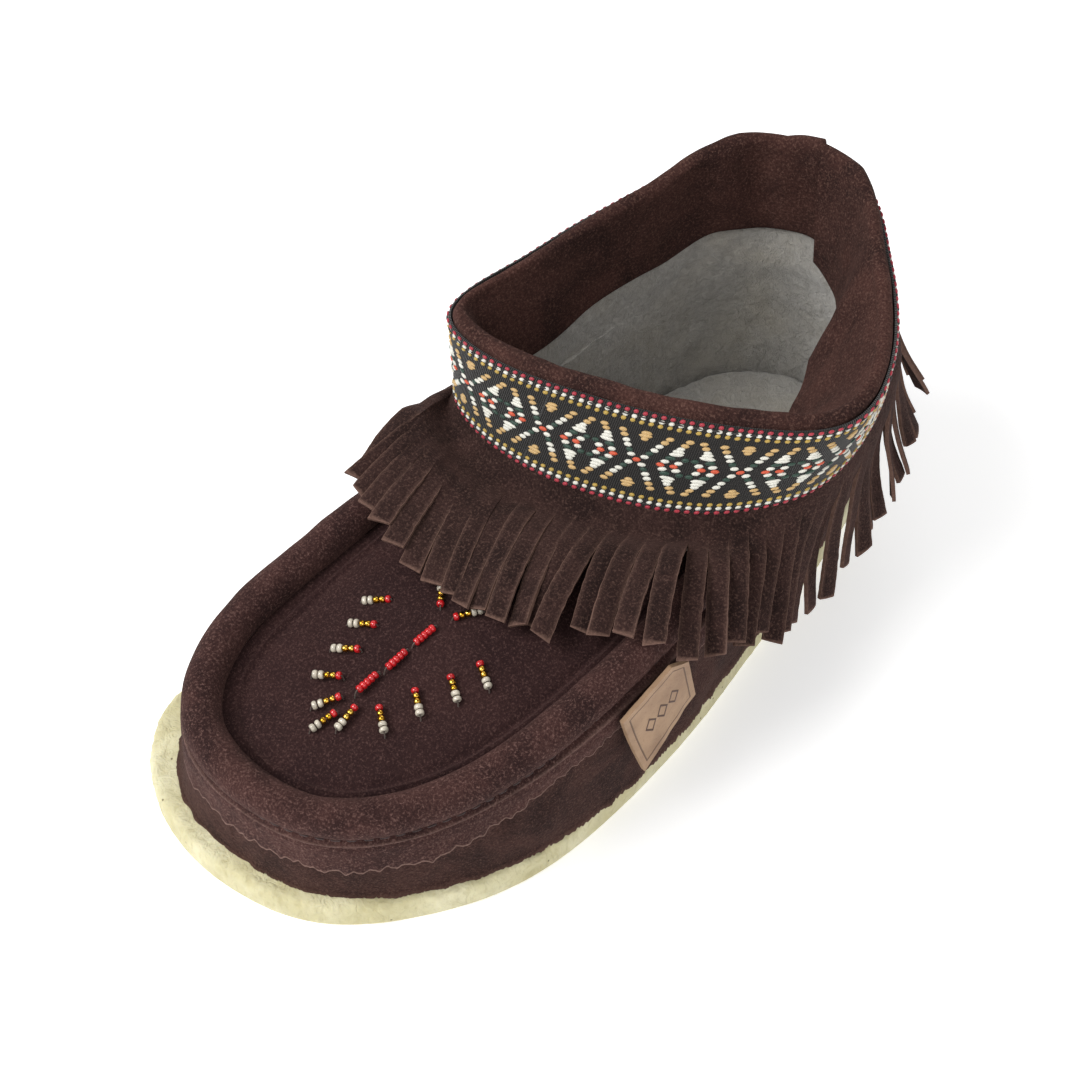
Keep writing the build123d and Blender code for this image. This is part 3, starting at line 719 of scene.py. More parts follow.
def make_collar_pile():
    """Fleece inside the collar, from the wall's lining up behind the suede facing."""
    count, rows = 600, 22
    top = collar_loop(FACING_LEVEL + (4, 0), -(CUFF_THICK - 0.5), count)
    base = collar_loop(BASE_LEVEL, -(CUFF_THICK - 0.2), count)
    wall = wall_plan(50, LINING_DEPTH, 1200)
    front = ramp(24, 8, base[:, 1])
    nearest = ((base[:, None, :2] - wall[None]) ** 2).sum(-1).argmin(1)
    tuck = with_height(wall[nearest], 50.0)
    throat = base - (0, 0, 1.0)
    low = tuck * (1 - front)[:, None] + throat * front[:, None]
    middle = base
    grid = []
    for share in np.linspace(0, 1, rows):
        a = np.clip(share / 0.45, 0, 1)
        b = np.clip((share - 0.45) / 0.55, 0, 1)
        loop = low * (1 - a) + middle * a if share < 0.45 else middle * (1 - b) + top * b
        grid.append(loop)
    grid = np.array(grid)
    normals = outward(grid_normals(grid, wrap=True), grid, (5, 55, 75))
    pile = 0.5 * uneven(grid, 8, 43) + 0.25 * uneven(grid, 3, 44)
    fade = ramp(1.0, 0.8, np.linspace(0, 1, rows))[:, None]
    inner = grid - normals * (pile * fade + 0.2)[..., None]
    points, faces = shell(grid + normals * 1.4, inner, wrap=True)
    piece = new_piece("collar_pile", points, faces, [FLEECE], crease=80)
    return piece


# ---------------------------------------------------------------- plug
def plug_outline(margin, count):
    """The plug's plan as one closed loop."""
    front = smooth(PLUG_PLAN, 600)
    rear = smooth(PLUG_REAR, 120)[1:-1]
    loop = even(np.vstack([front, rear, front[:1]]), count, closed=True)
    return inset(loop, margin)


def make_plug():
    """Suede plug with the fine second crease inside the roll's seam, and its fleece backing."""
    rings = 85
    plan, out = disk_grid(plug_outline(-1.3, 1200), PLUG_CENTRE, rings)
    x, y = plan[..., 0], plan[..., 1]
    loop = plug_outline(-1.3, 240)
    room = np.sqrt(((plan[:, :, None] - loop[None, None]) ** 2).sum(-1).min(-1))
    seam = smooth(ROLL_LINE, 200)
    nearest = ((plan[:, :, None] - seam[None, None, :, :2]) ** 2).sum(-1).argmin(-1)
    at = np.stack([x, y], axis=-1)
    sewn = ramp(-1, -10, y) * ramp(6.5, 1.0, room)
    crease = 0.7 * bell(room, 4.4, 0.7) - 0.5 * bell(room, 6.0, 1.2) - 0.35 * bell(room, 3.0, 0.6)
    soft = 0.5 * uneven(at, 22, 51) + 0.14 * uneven(at, 5, 52)
    height = plug_height(x, y) + soft * ramp(0, 8, room) - 0.1
    height = height * (1 - sewn) + (seam[nearest, 2] - 2.9) * sewn + crease * ramp(0, -12, y)
    top = np.stack([x, y, height], axis=-1)
    under = top - (0, 0, SUEDE - 0.1)
    points, faces = shell(top, under)
    piece = new_piece("plug_suede", points, faces, [SUEDE_PLUG])
    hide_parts("vamp_plug")

    plan, out = disk_grid(plug_outline(3.2, 900), PLUG_CENTRE, 50)
    x, y = plan[..., 0], plan[..., 1]
    at = np.stack([x, y], axis=-1)
    upper = np.stack([x, y, plug_height(x, y) - SUEDE - 0.6], axis=-1)
    pile = 2.3 + 0.4 * uneven(at, 7, 53) + 0.2 * uneven(at, 3, 54)
    lower = upper - np.stack([0 * x, 0 * x, pile * np.sqrt(np.clip(1 - out ** 8, 0.02, 1))], axis=-1)
    points, faces = shell(upper, lower)
    backing = new_piece("plug_pile", points, faces, [FLEECE], crease=80)
    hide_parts("vamp_lining")


# ---------------------------------------------------------------- padded roll and pinked skirt
def roll_frames(count):
    """Points, outward and upward directions along the roll, carried on a little past both ends."""
    line = smooth(ROLL_LINE, count)
    first, last = unit(line[0] - line[3]), unit(line[-1] - line[-4])
    steps = np.linspace(1, 0.03, 12)[:, None] * ROLL_CAP
    line = np.vstack([line[0] + first * steps, line, line[-1] + last * steps[::-1]])
    along = unit(np.gradient(line, axis=0))
    out = unit(np.cross(along, (0, 0, 1.0)))
    up = np.cross(-along, out)
    run = np.concatenate([[0], np.cumsum(np.linalg.norm(np.diff(line, axis=0), axis=1))]) - ROLL_CAP
    return line, out, up, run


def make_roll():
    """The gathered roll round the toe with its pinked skirt, and the stitches in the groove."""
    count = 1150
    line, out, up, run = roll_frames(count)
    total = run[-1] - ROLL_CAP
    past = np.maximum(np.maximum(-run, run - total), 0) / ROLL_CAP
    ends = np.sqrt(np.clip(1 - past ** 2, 0.003, 1))
    toe = ramp(-50, -90, line[:, 1])
    angles = np.radians(np.linspace(SEAM_ANGLE, GROOVE_ANGLE, 44))
    outer, inner, cut = [], [], []
    for angle in angles:
        flat = np.degrees(angle)
        at = line + out * (cos(angle) * ROLL_RADIUS) + up * (sin(angle) * ROLL_RADIUS)
        gather = 0.45 * (0.5 + 0.5 * np.cos(run * 2 * pi / 3.8 + 1.5 * uneven(run, 20, 61)))
        dimple = gather * bell(flat, GROOVE_ANGLE, 20)
        crown = 0.2 * uneven(at, 16, 62) + 0.14 * uneven(at, 6, 63)
        slack = 0.35 * bell(flat, 150, 40)
        radius = (ROLL_RADIUS + crown - dimple - slack) * ends
        outer.append(line + out * (cos(angle) * radius)[:, None] + up * (sin(angle) * radius)[:, None])
        radius = (ROLL_RADIUS - ROLL_SKIN) * ends
        inner.append(line + out * (cos(angle) * radius)[:, None] + up * (sin(angle) * radius)[:, None])
        cut.append(np.zeros(len(line)))
    groove_x = cos(radians(GROOVE_ANGLE)) * ROLL_RADIUS
    groove_y = sin(radians(GROOVE_ANGLE)) * ROLL_RADIUS
    foot = np.interp(run, np.linspace(0, total, len(SKIRT_FEET)), SKIRT_FEET)
    teeth = np.abs(((run / 4.1 + 0.3 * uneven(run, 9, 64)) % 1) - 0.5) * 2
    nibble = 0.3 * uneven(run, 1.1, 68)
    scallop = np.clip(0.5 + 0.5 * uneven(run, 6.5, 65), 0, 1)
    bite = nibble + toe * (1.3 * teeth + 0.4 * scallop) + (1 - toe) * (1.1 * teeth + 2.4 * scallop)
    long = (SKIRT_LENGTH + SKIRT_TOE_EXTRA * toe - bite) * (0.35 + 0.65 * ends)
    flap = 0.6 * uneven(run, 9, 66) + 0.3 * uneven(run, 4, 67)
    rows = 24
    for row in range(1, rows + 1):
        share = (row / rows) ** 1.2
        down = long * share
        lean = (foot - groove_x) * ramp(0, 4.5, down) + 0.14 * np.maximum(down - 9, 0)
        ridge = 0.75 * bell(down, 1.9, 0.8) - 0.35 * bell(down, 4.0, 1.3)
        swell = np.clip(flap, -0.3, 1.0) * share ** 1.4 + 0.3 * sin(pi * share)
        x = groove_x + (lean + ridge + swell + SKIRT_THICK * 0.6 * ramp(0, 1.5, down)) * ends
        outer.append(line + out * x[:, None] + up * (groove_y * ends - down)[:, None])
        inner.append(line + out * (x - SKIRT_THICK)[:, None] + up * (groove_y * ends - down)[:, None])
        # The pinked lower edge is marked as a cut edge; the band on the seam ridge, 1.9 mm below the groove,
        # also gets the lighter edge colour as a painted highlight.
        cut.append(np.maximum(ramp(0.95, 1.0, share), 0.42 * bell(down, 1.9, 0.5)))
    points, faces = shell(np.array(outer), np.array(inner))
    cut = np.array(cut)
    piece = new_piece("apron_roll", points, faces, [SUEDE_ROLL],
                      marks={"cut": np.concatenate([cut, cut[::-1]])})
    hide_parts("apron_band")
    frame["nodes"]["roll_core"].data.materials.clear()
    frame["nodes"]["roll_core"].data.materials.append(FOAM_POROUS)

    points, faces = [], []
    shape, pattern = capsule(2.6, 0.6, 0.6)
    along = unit(np.gradient(line, axis=0))
    for place in np.arange(2, total - 2, 3.8):
        i = int(np.searchsorted(run, place))
        spot = line[i] + out[i] * (groove_x + 0.15) + up[i] * (groove_y - 0.3)
        faces += [[corner + len(points) * len(shape) for corner in face] for face in pattern]
        points.append(spot + shape @ np.stack([along[i], out[i], up[i]]))
    stitches = new_piece("roll_stitching", np.concatenate(points), faces, [DARK_THREAD])
    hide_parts("roll_stitches")


# ---------------------------------------------------------------- reading repeated parts from the frame
def islands(node):
    """The separate solids of a CAD node: each one's middle, axes from short to long, and spread along them."""
    mesh = frame["nodes"][node].data
    points = np.array([v.co for v in mesh.vertices]) / MM
    keys, index = np.unique(np.round(points, 4), axis=0, return_inverse=True)
    index = index.ravel()
    owner = np.arange(len(keys))

    def root(i):
        while owner[i] != i:
            owner[i] = owner[owner[i]]
            i = owner[i]
        return i

    for edge in mesh.edges:
        a, b = root(index[edge.vertices[0]]), root(index[edge.vertices[1]])
        if a != b:
            owner[max(a, b)] = min(a, b)
    groups = {}
    for i in range(len(keys)):
        groups.setdefault(root(i), []).append(i)
    found = []
    for members in groups.values():
        part = keys[members]
        middle = (part.max(0) + part.min(0)) / 2
        spread, axes = np.linalg.eigh(np.cov((part - part.mean(0)).T))
        found.append((middle, axes, spread))
    return found


def capsule(length, width, height, around=8, along=7):
    """Points and faces of one floated or sewn stitch, along local x."""
    rows = []
    for share in np.linspace(-1, 1, along):
        size = max((1 - abs(share) ** 2.6) ** 0.5, 0.12)
        turn = np.arange(around) * 2 * pi / around
        rows.append(np.column_stack([np.full(around, share * length / 2), np.cos(turn) * width / 2 * size,
                                     np.sin(turn) * height / 2 * size]))
    points = np.concatenate(rows)
    faces = quads(along, around, wrap_columns=True).tolist()
    faces.append(list(range(around))[::-1])
    faces.append([(along - 1) * around + i for i in range(around)])
    return points, faces


def make_stitches(node, name, material, length, width, sink):
    """Rounded thread stitches where the frame has its plain ones, drawn down into the band."""
    points, faces = [], []
    shape, pattern = capsule(length, width, width)
    for middle, axes, _ in islands(node):
        x, z = axes[:, 2], axes[:, 0]
        y = np.cross(z, x)
        first = len(points) * len(shape)
        outwards = unit(middle - np.array((5.0, 60.0, middle[2])))
        points.append(middle - outwards * sink + shape @ np.stack([x, y, z]))
        faces += [[i + first for i in face] for face in pattern]
    piece = new_piece(name, np.concatenate(points), faces, [material])
    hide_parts(node)


# ---------------------------------------------------------------- collar cuff
# Share of the way round where the outer flap of the facing laps over the heel.
HEEL_SEAM = 0.5255
# How far the rolled rim stands above its plane.
CUFF_RISE = np.array([(0.34, 0), (0.40, 1.6), (0.44, 3.6), (0.48, 4.8), (0.505, 3.8), (0.525, 3.2),
                      (0.526, 4.1), (0.56, 1.5), (0.60, 3.6), (0.64, 2.2), (0.70, 0.4), (0.78, 0)])
# Pleats of the facing: height, share of the way round, width.
CUFF_PLEATS = [(1.6, 0.563, 0.014), (-1.1, 0.59, 0.011), (2.0, 0.62, 0.016), (2.6, 0.895, 0.010),
               (-1.6, 0.915, 0.010), (1.6, 0.16, 0.02)]


def make_cuff():
    """Suede cuff: outer face, rolled fold, and a loose inner facing with a lateral flap over the heel."""
    count = 900
    share = np.arange(count) / count
    half = CUFF_THICK / 2
    rows = []
    fold_level = TOP_LEVEL - (half + 0.1, 0)
    for part in np.linspace(0, 1, 9):
        rows.append(collar_loop(BASE_LEVEL + (fold_level - BASE_LEVEL) * part, -0.15, count))
    centre = collar_loop(fold_level, -half, count)
    out = unit(collar_loop(fold_level, 0, count) - centre)
    up = np.array((0, 0, 1.0))
    lapped = (share < HEEL_SEAM).astype(float)
    rise = np.interp(share, CUFF_RISE[:, 0], CUFF_RISE[:, 1])
    centre = centre + up * rise[:, None] - out * (0.7 * lapped * bell(share, HEEL_SEAM, 0.05))[:, None]
    ridge = 1 + 0.12 * uneven(centre, 13, 71) + 0.06 * uneven(centre, 5, 72)
    for angle in np.linspace(0, pi, 13)[1:-1]:
        rows.append(centre + (out * cos(angle) + up * sin(angle)) * (half * ridge)[:, None])
    face = len(rows)
    depths = np.linspace(0, 1, 26)
    hang = facing_edge(count)
    start = centre - out * half
    for depth in depths:
        rows.append(start + (hang - start) * depth)
    grid = np.array(rows)
    for row, depth in enumerate(depths):
        loop = grid[face + row]
        fold = 0.8 * uneven(np.column_stack([share * 370, loop[:, 2] * 0.35]), 15, 73)
        fold += 0.35 * uneven(loop, 7, 74)
        pleat = sum(height * bell(share, at, wide) for height, at, wide in CUFF_PLEATS)
        pleat += 1.5 * lapped * bell(share, HEEL_SEAM, 0.08)
        inward = unit(np.array((5, 55, 0)) - loop * (1, 1, 0))
        grid[face + row] = loop + inward * ((fold + pleat) * sin(pi * min(depth * 0.8 + 0.08, 1)))[:, None]
    lip = grid[-1]
    back = [lip + out * 0.9 - up * 0.5, lip + out * 1.5 + up * 0.6]
    back += [start + (hang - start) * part + out * 2.2 - up * 2 for part in (0.8, 0.45, 0.1)]
    back += [collar_loop(fold_level + (BASE_LEVEL - fold_level) * part, -1.9, count) for part in (0.1, 0.55, 1)]
    grid = np.concatenate([grid, back])
    faces = quads(len(grid), count, wrap_rows=True, wrap_columns=True).tolist()
    cut = np.zeros(grid.shape[:2])
    piece = new_piece("cuff_suede", grid, faces, [SUEDE_CUFF], marks={"cut": cut}, crease=70)
    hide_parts("collar_cuff")
    return piece


def facing_edge(count):
    """The free lower edge of the cuff's facing: a loose flap on the outer side, up to the heel seam."""
    edge = collar_loop(FACING_LEVEL, -(CUFF_THICK + 0.8), count)
    share = np.arange(count) / count
    lapped = share < HEEL_SEAM
    loose = ramp(0.13, 0.22, share) * (0.32 + 0.68 * ramp(0.49, 0.39, share)) * lapped
    droop = (5.5 * bell(share, 0.46, 0.05) + 1.5 * loose) * lapped
    inward = unit(np.array((5, 60, 0)) - edge * (1, 1, 0))
    edge = edge + inward * (17.0 * loose)[:, None]
    edge[:, 2] += 1.3 * uneven(share * 370, 22, 75) - droop
    return edge


# ---------------------------------------------------------------- woven braid
BRAID_REPEAT = 26.5
BRAID_HALF = 12.5
DASH = 2.4
# One quarter of the woven figure: distance along, height from the middle, dash length, colour.
FIGURE = [(0, 0, DASH, "orange"), (6.25, 0, DASH, "orange"), (9.75, 0, DASH, "orange"),
          (1.75, 1.05, DASH, "white"), (3.55, 3.25, DASH, "white"), (4.45, 4.4, DASH, "white"),
          (7.15, 1.05, DASH, "white"), (10.65, 1.05, DASH, "white"), (9.3, 3.2, 4.3, "white"),
          (9.55, 4.0, 3.3, "white"), (9.8, 4.75, 2.3, "white"), (2.65, 2.15, 2.2, "green"),
          (8.2, 2.1, 3.0, "green"), (12.0, 2.1, 2.2, "green"), (5.35, 5.6, DASH, "tan"),
          (6.25, 6.75, DASH, "tan"), (10.6, 5.8, DASH, "tan"), (11.5, 6.9, DASH, "tan"),
          (0, 5.6, 2.3, "tan"), (0, 6.35, 4.0, "tan"), (0, 7.1, 3.2, "tan")]
BORDER = [(9.5, 1.6, "gold"), (10.6, 1.7, "white"), (11.8, 1.6, "red")]
YARNS = {"white": colour(232, 230, 218), "tan": colour(206, 170, 112), "gold": colour(190, 158, 70),
         "red": colour(176, 40, 58), "orange": colour(214, 84, 48), "green": colour(30, 62, 48)}
FIGURE_START = 2.15


def braid_surface(along, up):
    """Points and outward directions on the braid's face, from millimetres along it and up from its middle."""
    rows, count = BRAID_GRID.shape[:2]
    u = (np.asarray(along) / BRAID_LENGTH % 1) * count
    v = np.clip((np.asarray(up) / BRAID_HALF + 1) / 2, 0, 1) * (rows - 1)
    i, j = u.astype(int) % count, np.clip(v.astype(int), 0, rows - 2)
    a, b = (u - np.floor(u))[..., None], (v - j)[..., None]
    k = (i + 1) % count
    point = ((BRAID_GRID[j, i] * (1 - a) + BRAID_GRID[j, k] * a) * (1 - b)
             + (BRAID_GRID[j + 1, i] * (1 - a) + BRAID_GRID[j + 1, k] * a) * b)
    normal = unit(BRAID_NORMALS[j, i] * (1 - a) + BRAID_NORMALS[j, k] * a)
    return point, normal


BRAID_GRID = np.array([collar_loop(FOOT_LEVEL + (EDGE_LEVEL - FOOT_LEVEL) * part, BRAID_LIFT + BRAID_THICK, 720)
                       for part in np.linspace(0, 1, 13)])
BRAID_NORMALS = outward(grid_normals(BRAID_GRID, wrap=True), BRAID_GRID, (5, 55, 80))
BRAID_GRID = BRAID_GRID + BRAID_NORMALS * (0.25 * uneven(BRAID_GRID, 16, 81))[..., None]
BRAID_LENGTH = length_of(np.vstack([BRAID_GRID[6], BRAID_GRID[6][:1]]))


def make_braid():
    """The band's ribbed ground."""
    count, rows = 960, 27
    up, along = np.meshgrid(np.linspace(-BRAID_HALF, BRAID_HALF, rows),
                            np.linspace(0, BRAID_LENGTH, count, endpoint=False), indexing="ij")
    face, normals = braid_surface(along, up)
    edge = ramp(1.0, 0.9, np.abs(up) / BRAID_HALF)
    face = face - normals * (0.35 * (1 - edge))[..., None]
    inner = face - normals * (BRAID_THICK - 0.35 * (1 - edge))[..., None]
    points, faces = shell(face, inner, wrap=True)
    marks = {"along": np.concatenate([along, along[::-1]]), "up": np.concatenate([up, up[::-1]])}
    piece = new_piece("braid_band", points, faces, [BRAID_GROUND], marks=marks)
    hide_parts("braid_trim")
    return piece


def braid_dashes():
    """Every coloured float: along, up, length, width, colour."""
    found = []
    repeats = int(BRAID_LENGTH / BRAID_REPEAT)
    pitch = BRAID_LENGTH / repeats
    for repeat in range(repeats):
        for x, y, length, tone in FIGURE:
            for sx in ((1, -1) if x else (1,)):
                for sy in ((1, -1) if y else (1,)):
                    along = FIGURE_START + (repeat + sx * x / BRAID_REPEAT) * pitch
                    found.append((along, sy * y, length, 1.12, tone))
    count = round(BRAID_LENGTH / 2.65)
    for i in range(count):
        for y, length, tone in BORDER:
            for sy in (1, -1):
                along = (i + 0.5 + 0.06 * sy) * BRAID_LENGTH / count
                found.append((along, sy * y, length, 1.05, tone))
    return found


def make_floats():
    """The coloured yarn floats of the figure and borders, raised on the band."""
    random = np.random.default_rng(82)
    names = list(YARNS)
    points, faces, kinds = [], [], []
    first = 0
    for along, up, length, width, tone in braid_dashes():
        shape, pattern = capsule(length * random.uniform(0.93, 1.04), width * random.uniform(0.92, 1.05), 0.8)
        skew = random.uniform(-0.06, 0.06)
        u = along + shape[:, 0] + random.uniform(-0.06, 0.06)
        v = up + shape[:, 1] + shape[:, 0] * skew + random.uniform(-0.05, 0.05)
        place, normal = braid_surface(u, v)
        points.append(place + normal * (shape[:, 2] + 0.06)[:, None])
        faces += [[i + first for i in face] for face in pattern]
        kinds += [names.index(tone)] * len(pattern)
        first += len(shape)
    yarns = [thread_material(f"yarn_{name}", tone, 0.42, 0.3) for name, tone in YARNS.items()]
    piece = new_piece("braid_figure", np.concatenate(points), faces, yarns, kinds=kinds)
    return piece


# ---------------------------------------------------------------- fringe
TIPS = np.array(STRAND_TIPS, float)
GROUPS = sum(1 for body in frame["bodies"] if body.startswith("fringe_"))
STRANDS = GROUPS * STRANDS_PER_GROUP
LOOP_COUNT = 2400
ROOT_LOOP = collar_loop(ROOT_LEVEL, ROOT_OUTSET, LOOP_COUNT)
FOOT_LOOP = collar_loop(FOOT_LEVEL + (0.4, 0), BRAID_LIFT + HEADER_THICK - 0.5, LOOP_COUNT)
ROOT_PITCH = length_of(np.vstack([ROOT_LOOP, ROOT_LOOP[:1]])) / STRANDS
# How much higher the strands arch where they cross the roll's rear end.
ROLL_CLIMB = 1.5
# The strands arch over the front and hang hollow round the sides and the heel.
FLARE = 1.6


def on_loop(loop, share):
    """A point on a closed loop at a share of the way round."""
    place = (share % 1) * len(loop)
    i = int(place) % len(loop)
    return loop[i] + (loop[(i + 1) % len(loop)] - loop[i]) * (place - int(place))


def tip_at(share):
    """Where a strand ends."""
    share = share % 1
    if share < TIPS[0, 0]:
        share += 1
    return np.array([np.interp(share, TIPS[:, 0], TIPS[:, k]) for k in (1, 2, 3)])


def strand_line(share, steps, lift=0.0, reach=1.0):
    """A strand's middle line from under the braid to its tip, with its directions across and outwards."""
    foot, root = on_loop(FOOT_LOOP, share), on_loop(ROOT_LOOP, share)
    lift = lift + ROLL_CLIMB * bell(share, 0.138, 0.02)
    tip = root + (tip_at(share) - root) * reach
    down = unit(tip - root)
    side = unit(on_loop(ROOT_LOOP, share + 0.002) - on_loop(ROOT_LOOP, share - 0.002))
    side = unit(side - down * (side @ down))
    out = np.cross(down, side)
    length = np.linalg.norm(tip - root)
    marks = [0, 0.25, 0.5, 0.75, 1]
    arch = STRAND_BOW * (1 - FLARE * ramp(0.14, 0.23, abs(ring_gap(np.array(share), 0.0)))) + lift
    bow = [root + down * length * t + out * arch * 4 * t * (1 - t) for t in marks]
    line = smooth([foot, *bow], steps)
    return line, side, out, np.linalg.norm(foot - root), length


def make_strand(index, random):
    """One ribbon: outer and inner grids of points, and how much each point is a cut edge."""
    steps = 44
    parts = np.array((-1, -0.94, -0.6, -0.2, 0.2, 0.6, 0.94, 1))
    share = (index + 0.5) / STRANDS
    half_share = 0.5 / STRANDS
    held = float(ramp(0.085, 0.05, abs(ring_gap(np.array(share), 0.935))))
    free_hand = 1 - held
    lift = (random.uniform(-0.6, 1.4) + 0.5 * (index % 2)) * free_hand + 0.25 * (index % 2)
    reach = random.uniform(0.93, 1.03) * free_hand + random.uniform(0.985, 1.015) * held
    line, side, _, header, length = strand_line(share, steps, lift, reach)
    left = strand_line(share - half_share, steps, 0.4, reach)[0]
    right = strand_line(share + half_share, steps, 0.4, reach)[0]
    along = np.linspace(0, header + length, steps)
    slit = 0.6 * header + random.uniform(0.0, 4.0) + held * length * random.uniform(0.3, 0.55)
    open_share = ramp(slit, slit + 8 - 3 * held, along)[:, None]
    free = ramp(slit, header + length, along)
    twist = radians(random.uniform(-30, 30)) * (1 - 0.85 * held)
    sway = random.uniform(-1.1, 1.1) * (1 - 0.7 * held)
    curl = random.uniform(-0.5, 1.6) * free_hand + random.uniform(0, 0.5) * held
    wave, phase = random.uniform(0.1, 0.6) * (1 - 0.6 * held), random.uniform(0, 2 * pi)
    fan = np.linalg.norm(right - left, axis=1)
    snug = ROOT_PITCH * random.uniform(0.99, 1.12)
    width = snug + (np.clip(fan, 0, 1.25 * ROOT_PITCH) * 0.97 - snug) * max(held, 0.25)
    tangent = unit(np.gradient(line, axis=0))
    sides = unit(side - tangent * (tangent @ side)[:, None])
    outs = unit(np.cross(tangent, sides))
    angle = (twist * free ** 1.5)[:, None]
    sides, outs = sides * np.cos(angle) + outs * np.sin(angle), outs * np.cos(angle) - sides * np.sin(angle)
    drift = (sides * (sway * free ** 1.6)[:, None]
             + outs * (curl * free ** 2 + wave * np.sin(free * 5 + phase) * free)[:, None])
    outer, inner, cut = [], [], []
    for part in parts:
        joined = left * max(-part, 0) + right * max(part, 0) + line * (1 - abs(part))
        nick = 0.1 * uneven(along, 2.4, index * 3 + (part > 0)) * (abs(part) > 0.9)
        cup = 0.25 * (1 - part ** 2)
        loose = line + drift + sides * (part * (width / 2 + nick))[:, None] + outs * cup
        edge = joined * (1 - open_share) + loose * open_share
        outer.append(edge)
        inner.append(edge - outs * (STRAND_THICK - 0.3))
        cut.append(np.full(steps, 1.0 if abs(part) == 1 else 0.25 * (abs(part) > 0.9)) * open_share[:, 0])
    outer, inner, cut = (np.swapaxes(np.array(a), 0, 1) for a in (outer, inner, cut))
    slant = random.uniform(-0.9, 0.9) * parts
    outer[-1] += tangent[-1] * slant[:, None]
    inner[-1] += tangent[-1] * slant[:, None]
    cut[-1] = 1.0
    return outer, inner, cut


def make_fringe():
    """Cut strands in groups, one mesh for each group."""
    random = np.random.default_rng(91)
    for group in range(GROUPS):
        points, faces, cuts = [], [], []
        first = 0
        for strand in range(STRANDS_PER_GROUP):
            outer, inner, cut = make_strand(group * STRANDS_PER_GROUP + strand, random)
            some, pattern = shell(outer, inner)
            faces += [[i + first for i in face] for face in pattern]
            points.append(some)
            cuts.append(np.concatenate([cut, cut[::-1]]).ravel())
            first += len(some)
        name = f"fringe_{group + 1:02d}"
        piece = new_piece(f"{name}_strands", np.concatenate(points), faces, [SUEDE_FRINGE], body=None,
                          marks={"cut": np.concatenate(cuts)}, crease=40)
        middle = (group + 0.5) / GROUPS
        root = on_loop(ROOT_LOOP, middle)
        toward = unit(tip_at(middle) - root)
        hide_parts("fringe_header", name)
        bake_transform(piece)


# ---------------------------------------------------------------- tag
def make_tag():
    """Leather tag with a clipped corner, its lower front corner curling away from the wall."""
    joint = next(j for j in frame["joints"] if j["child"] == "label_tag")
    corner = np.array(joint["pos_m"]) / MM
    along = -np.array(joint["axis"])
    out = np.array((1.0, 0, 0))
    down = np.cross(along, out)
    down = down if down[2] < 0 else -down
    size, clip, thick = 26.0, 6.0, 1.3
    rows, columns = 140, 140
    a = np.linspace(0, size, columns)[None] * np.ones((rows, 1))
    start = np.maximum(0, a - (size - clip))
    b = start + (size - start) * np.linspace(0, 1, rows)[:, None]
    curl = 3.4 * (b / size) ** 2 * np.clip(1 - a / size, 0, 1) ** 1.6 + 0.35 * np.sin(a / 7) * b / size
    curl += 0.08 * uneven(np.stack([a, b], axis=-1), 4, 95)
    face = corner + along * a[..., None] + down * b[..., None] + out * curl[..., None]
    rim = np.minimum.reduce([a, size - a, b - start, size - b])
    border = ramp(0.3, 0.15, np.abs(rim - 2.2))
    diamonds = np.zeros_like(a)
    for centre in (8.0, 13.0, 18.0):
        shape = np.abs(a - centre) + np.abs(b - size * 0.52) * 0.7
        diamonds = np.maximum(diamonds, ramp(0.45, 0.25, np.abs(shape - 2.0)))
    burnt = np.maximum(border * 0.8, diamonds)
    points, faces = shell(face, face - out * thick)
    piece = new_piece("leather_tag", points, faces, [TAG_LEATHER], body="label_tag",
                      marks={"burnt": np.concatenate([burnt, burnt[::-1] * 0])})
    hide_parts("label_tag")


# ---------------------------------------------------------------- beads
BEAD_SIZES = {"beads_white": 1.2, "beads_gold": 0.95, "beads_red": 1.12}
SPINE_PULL = 0.84


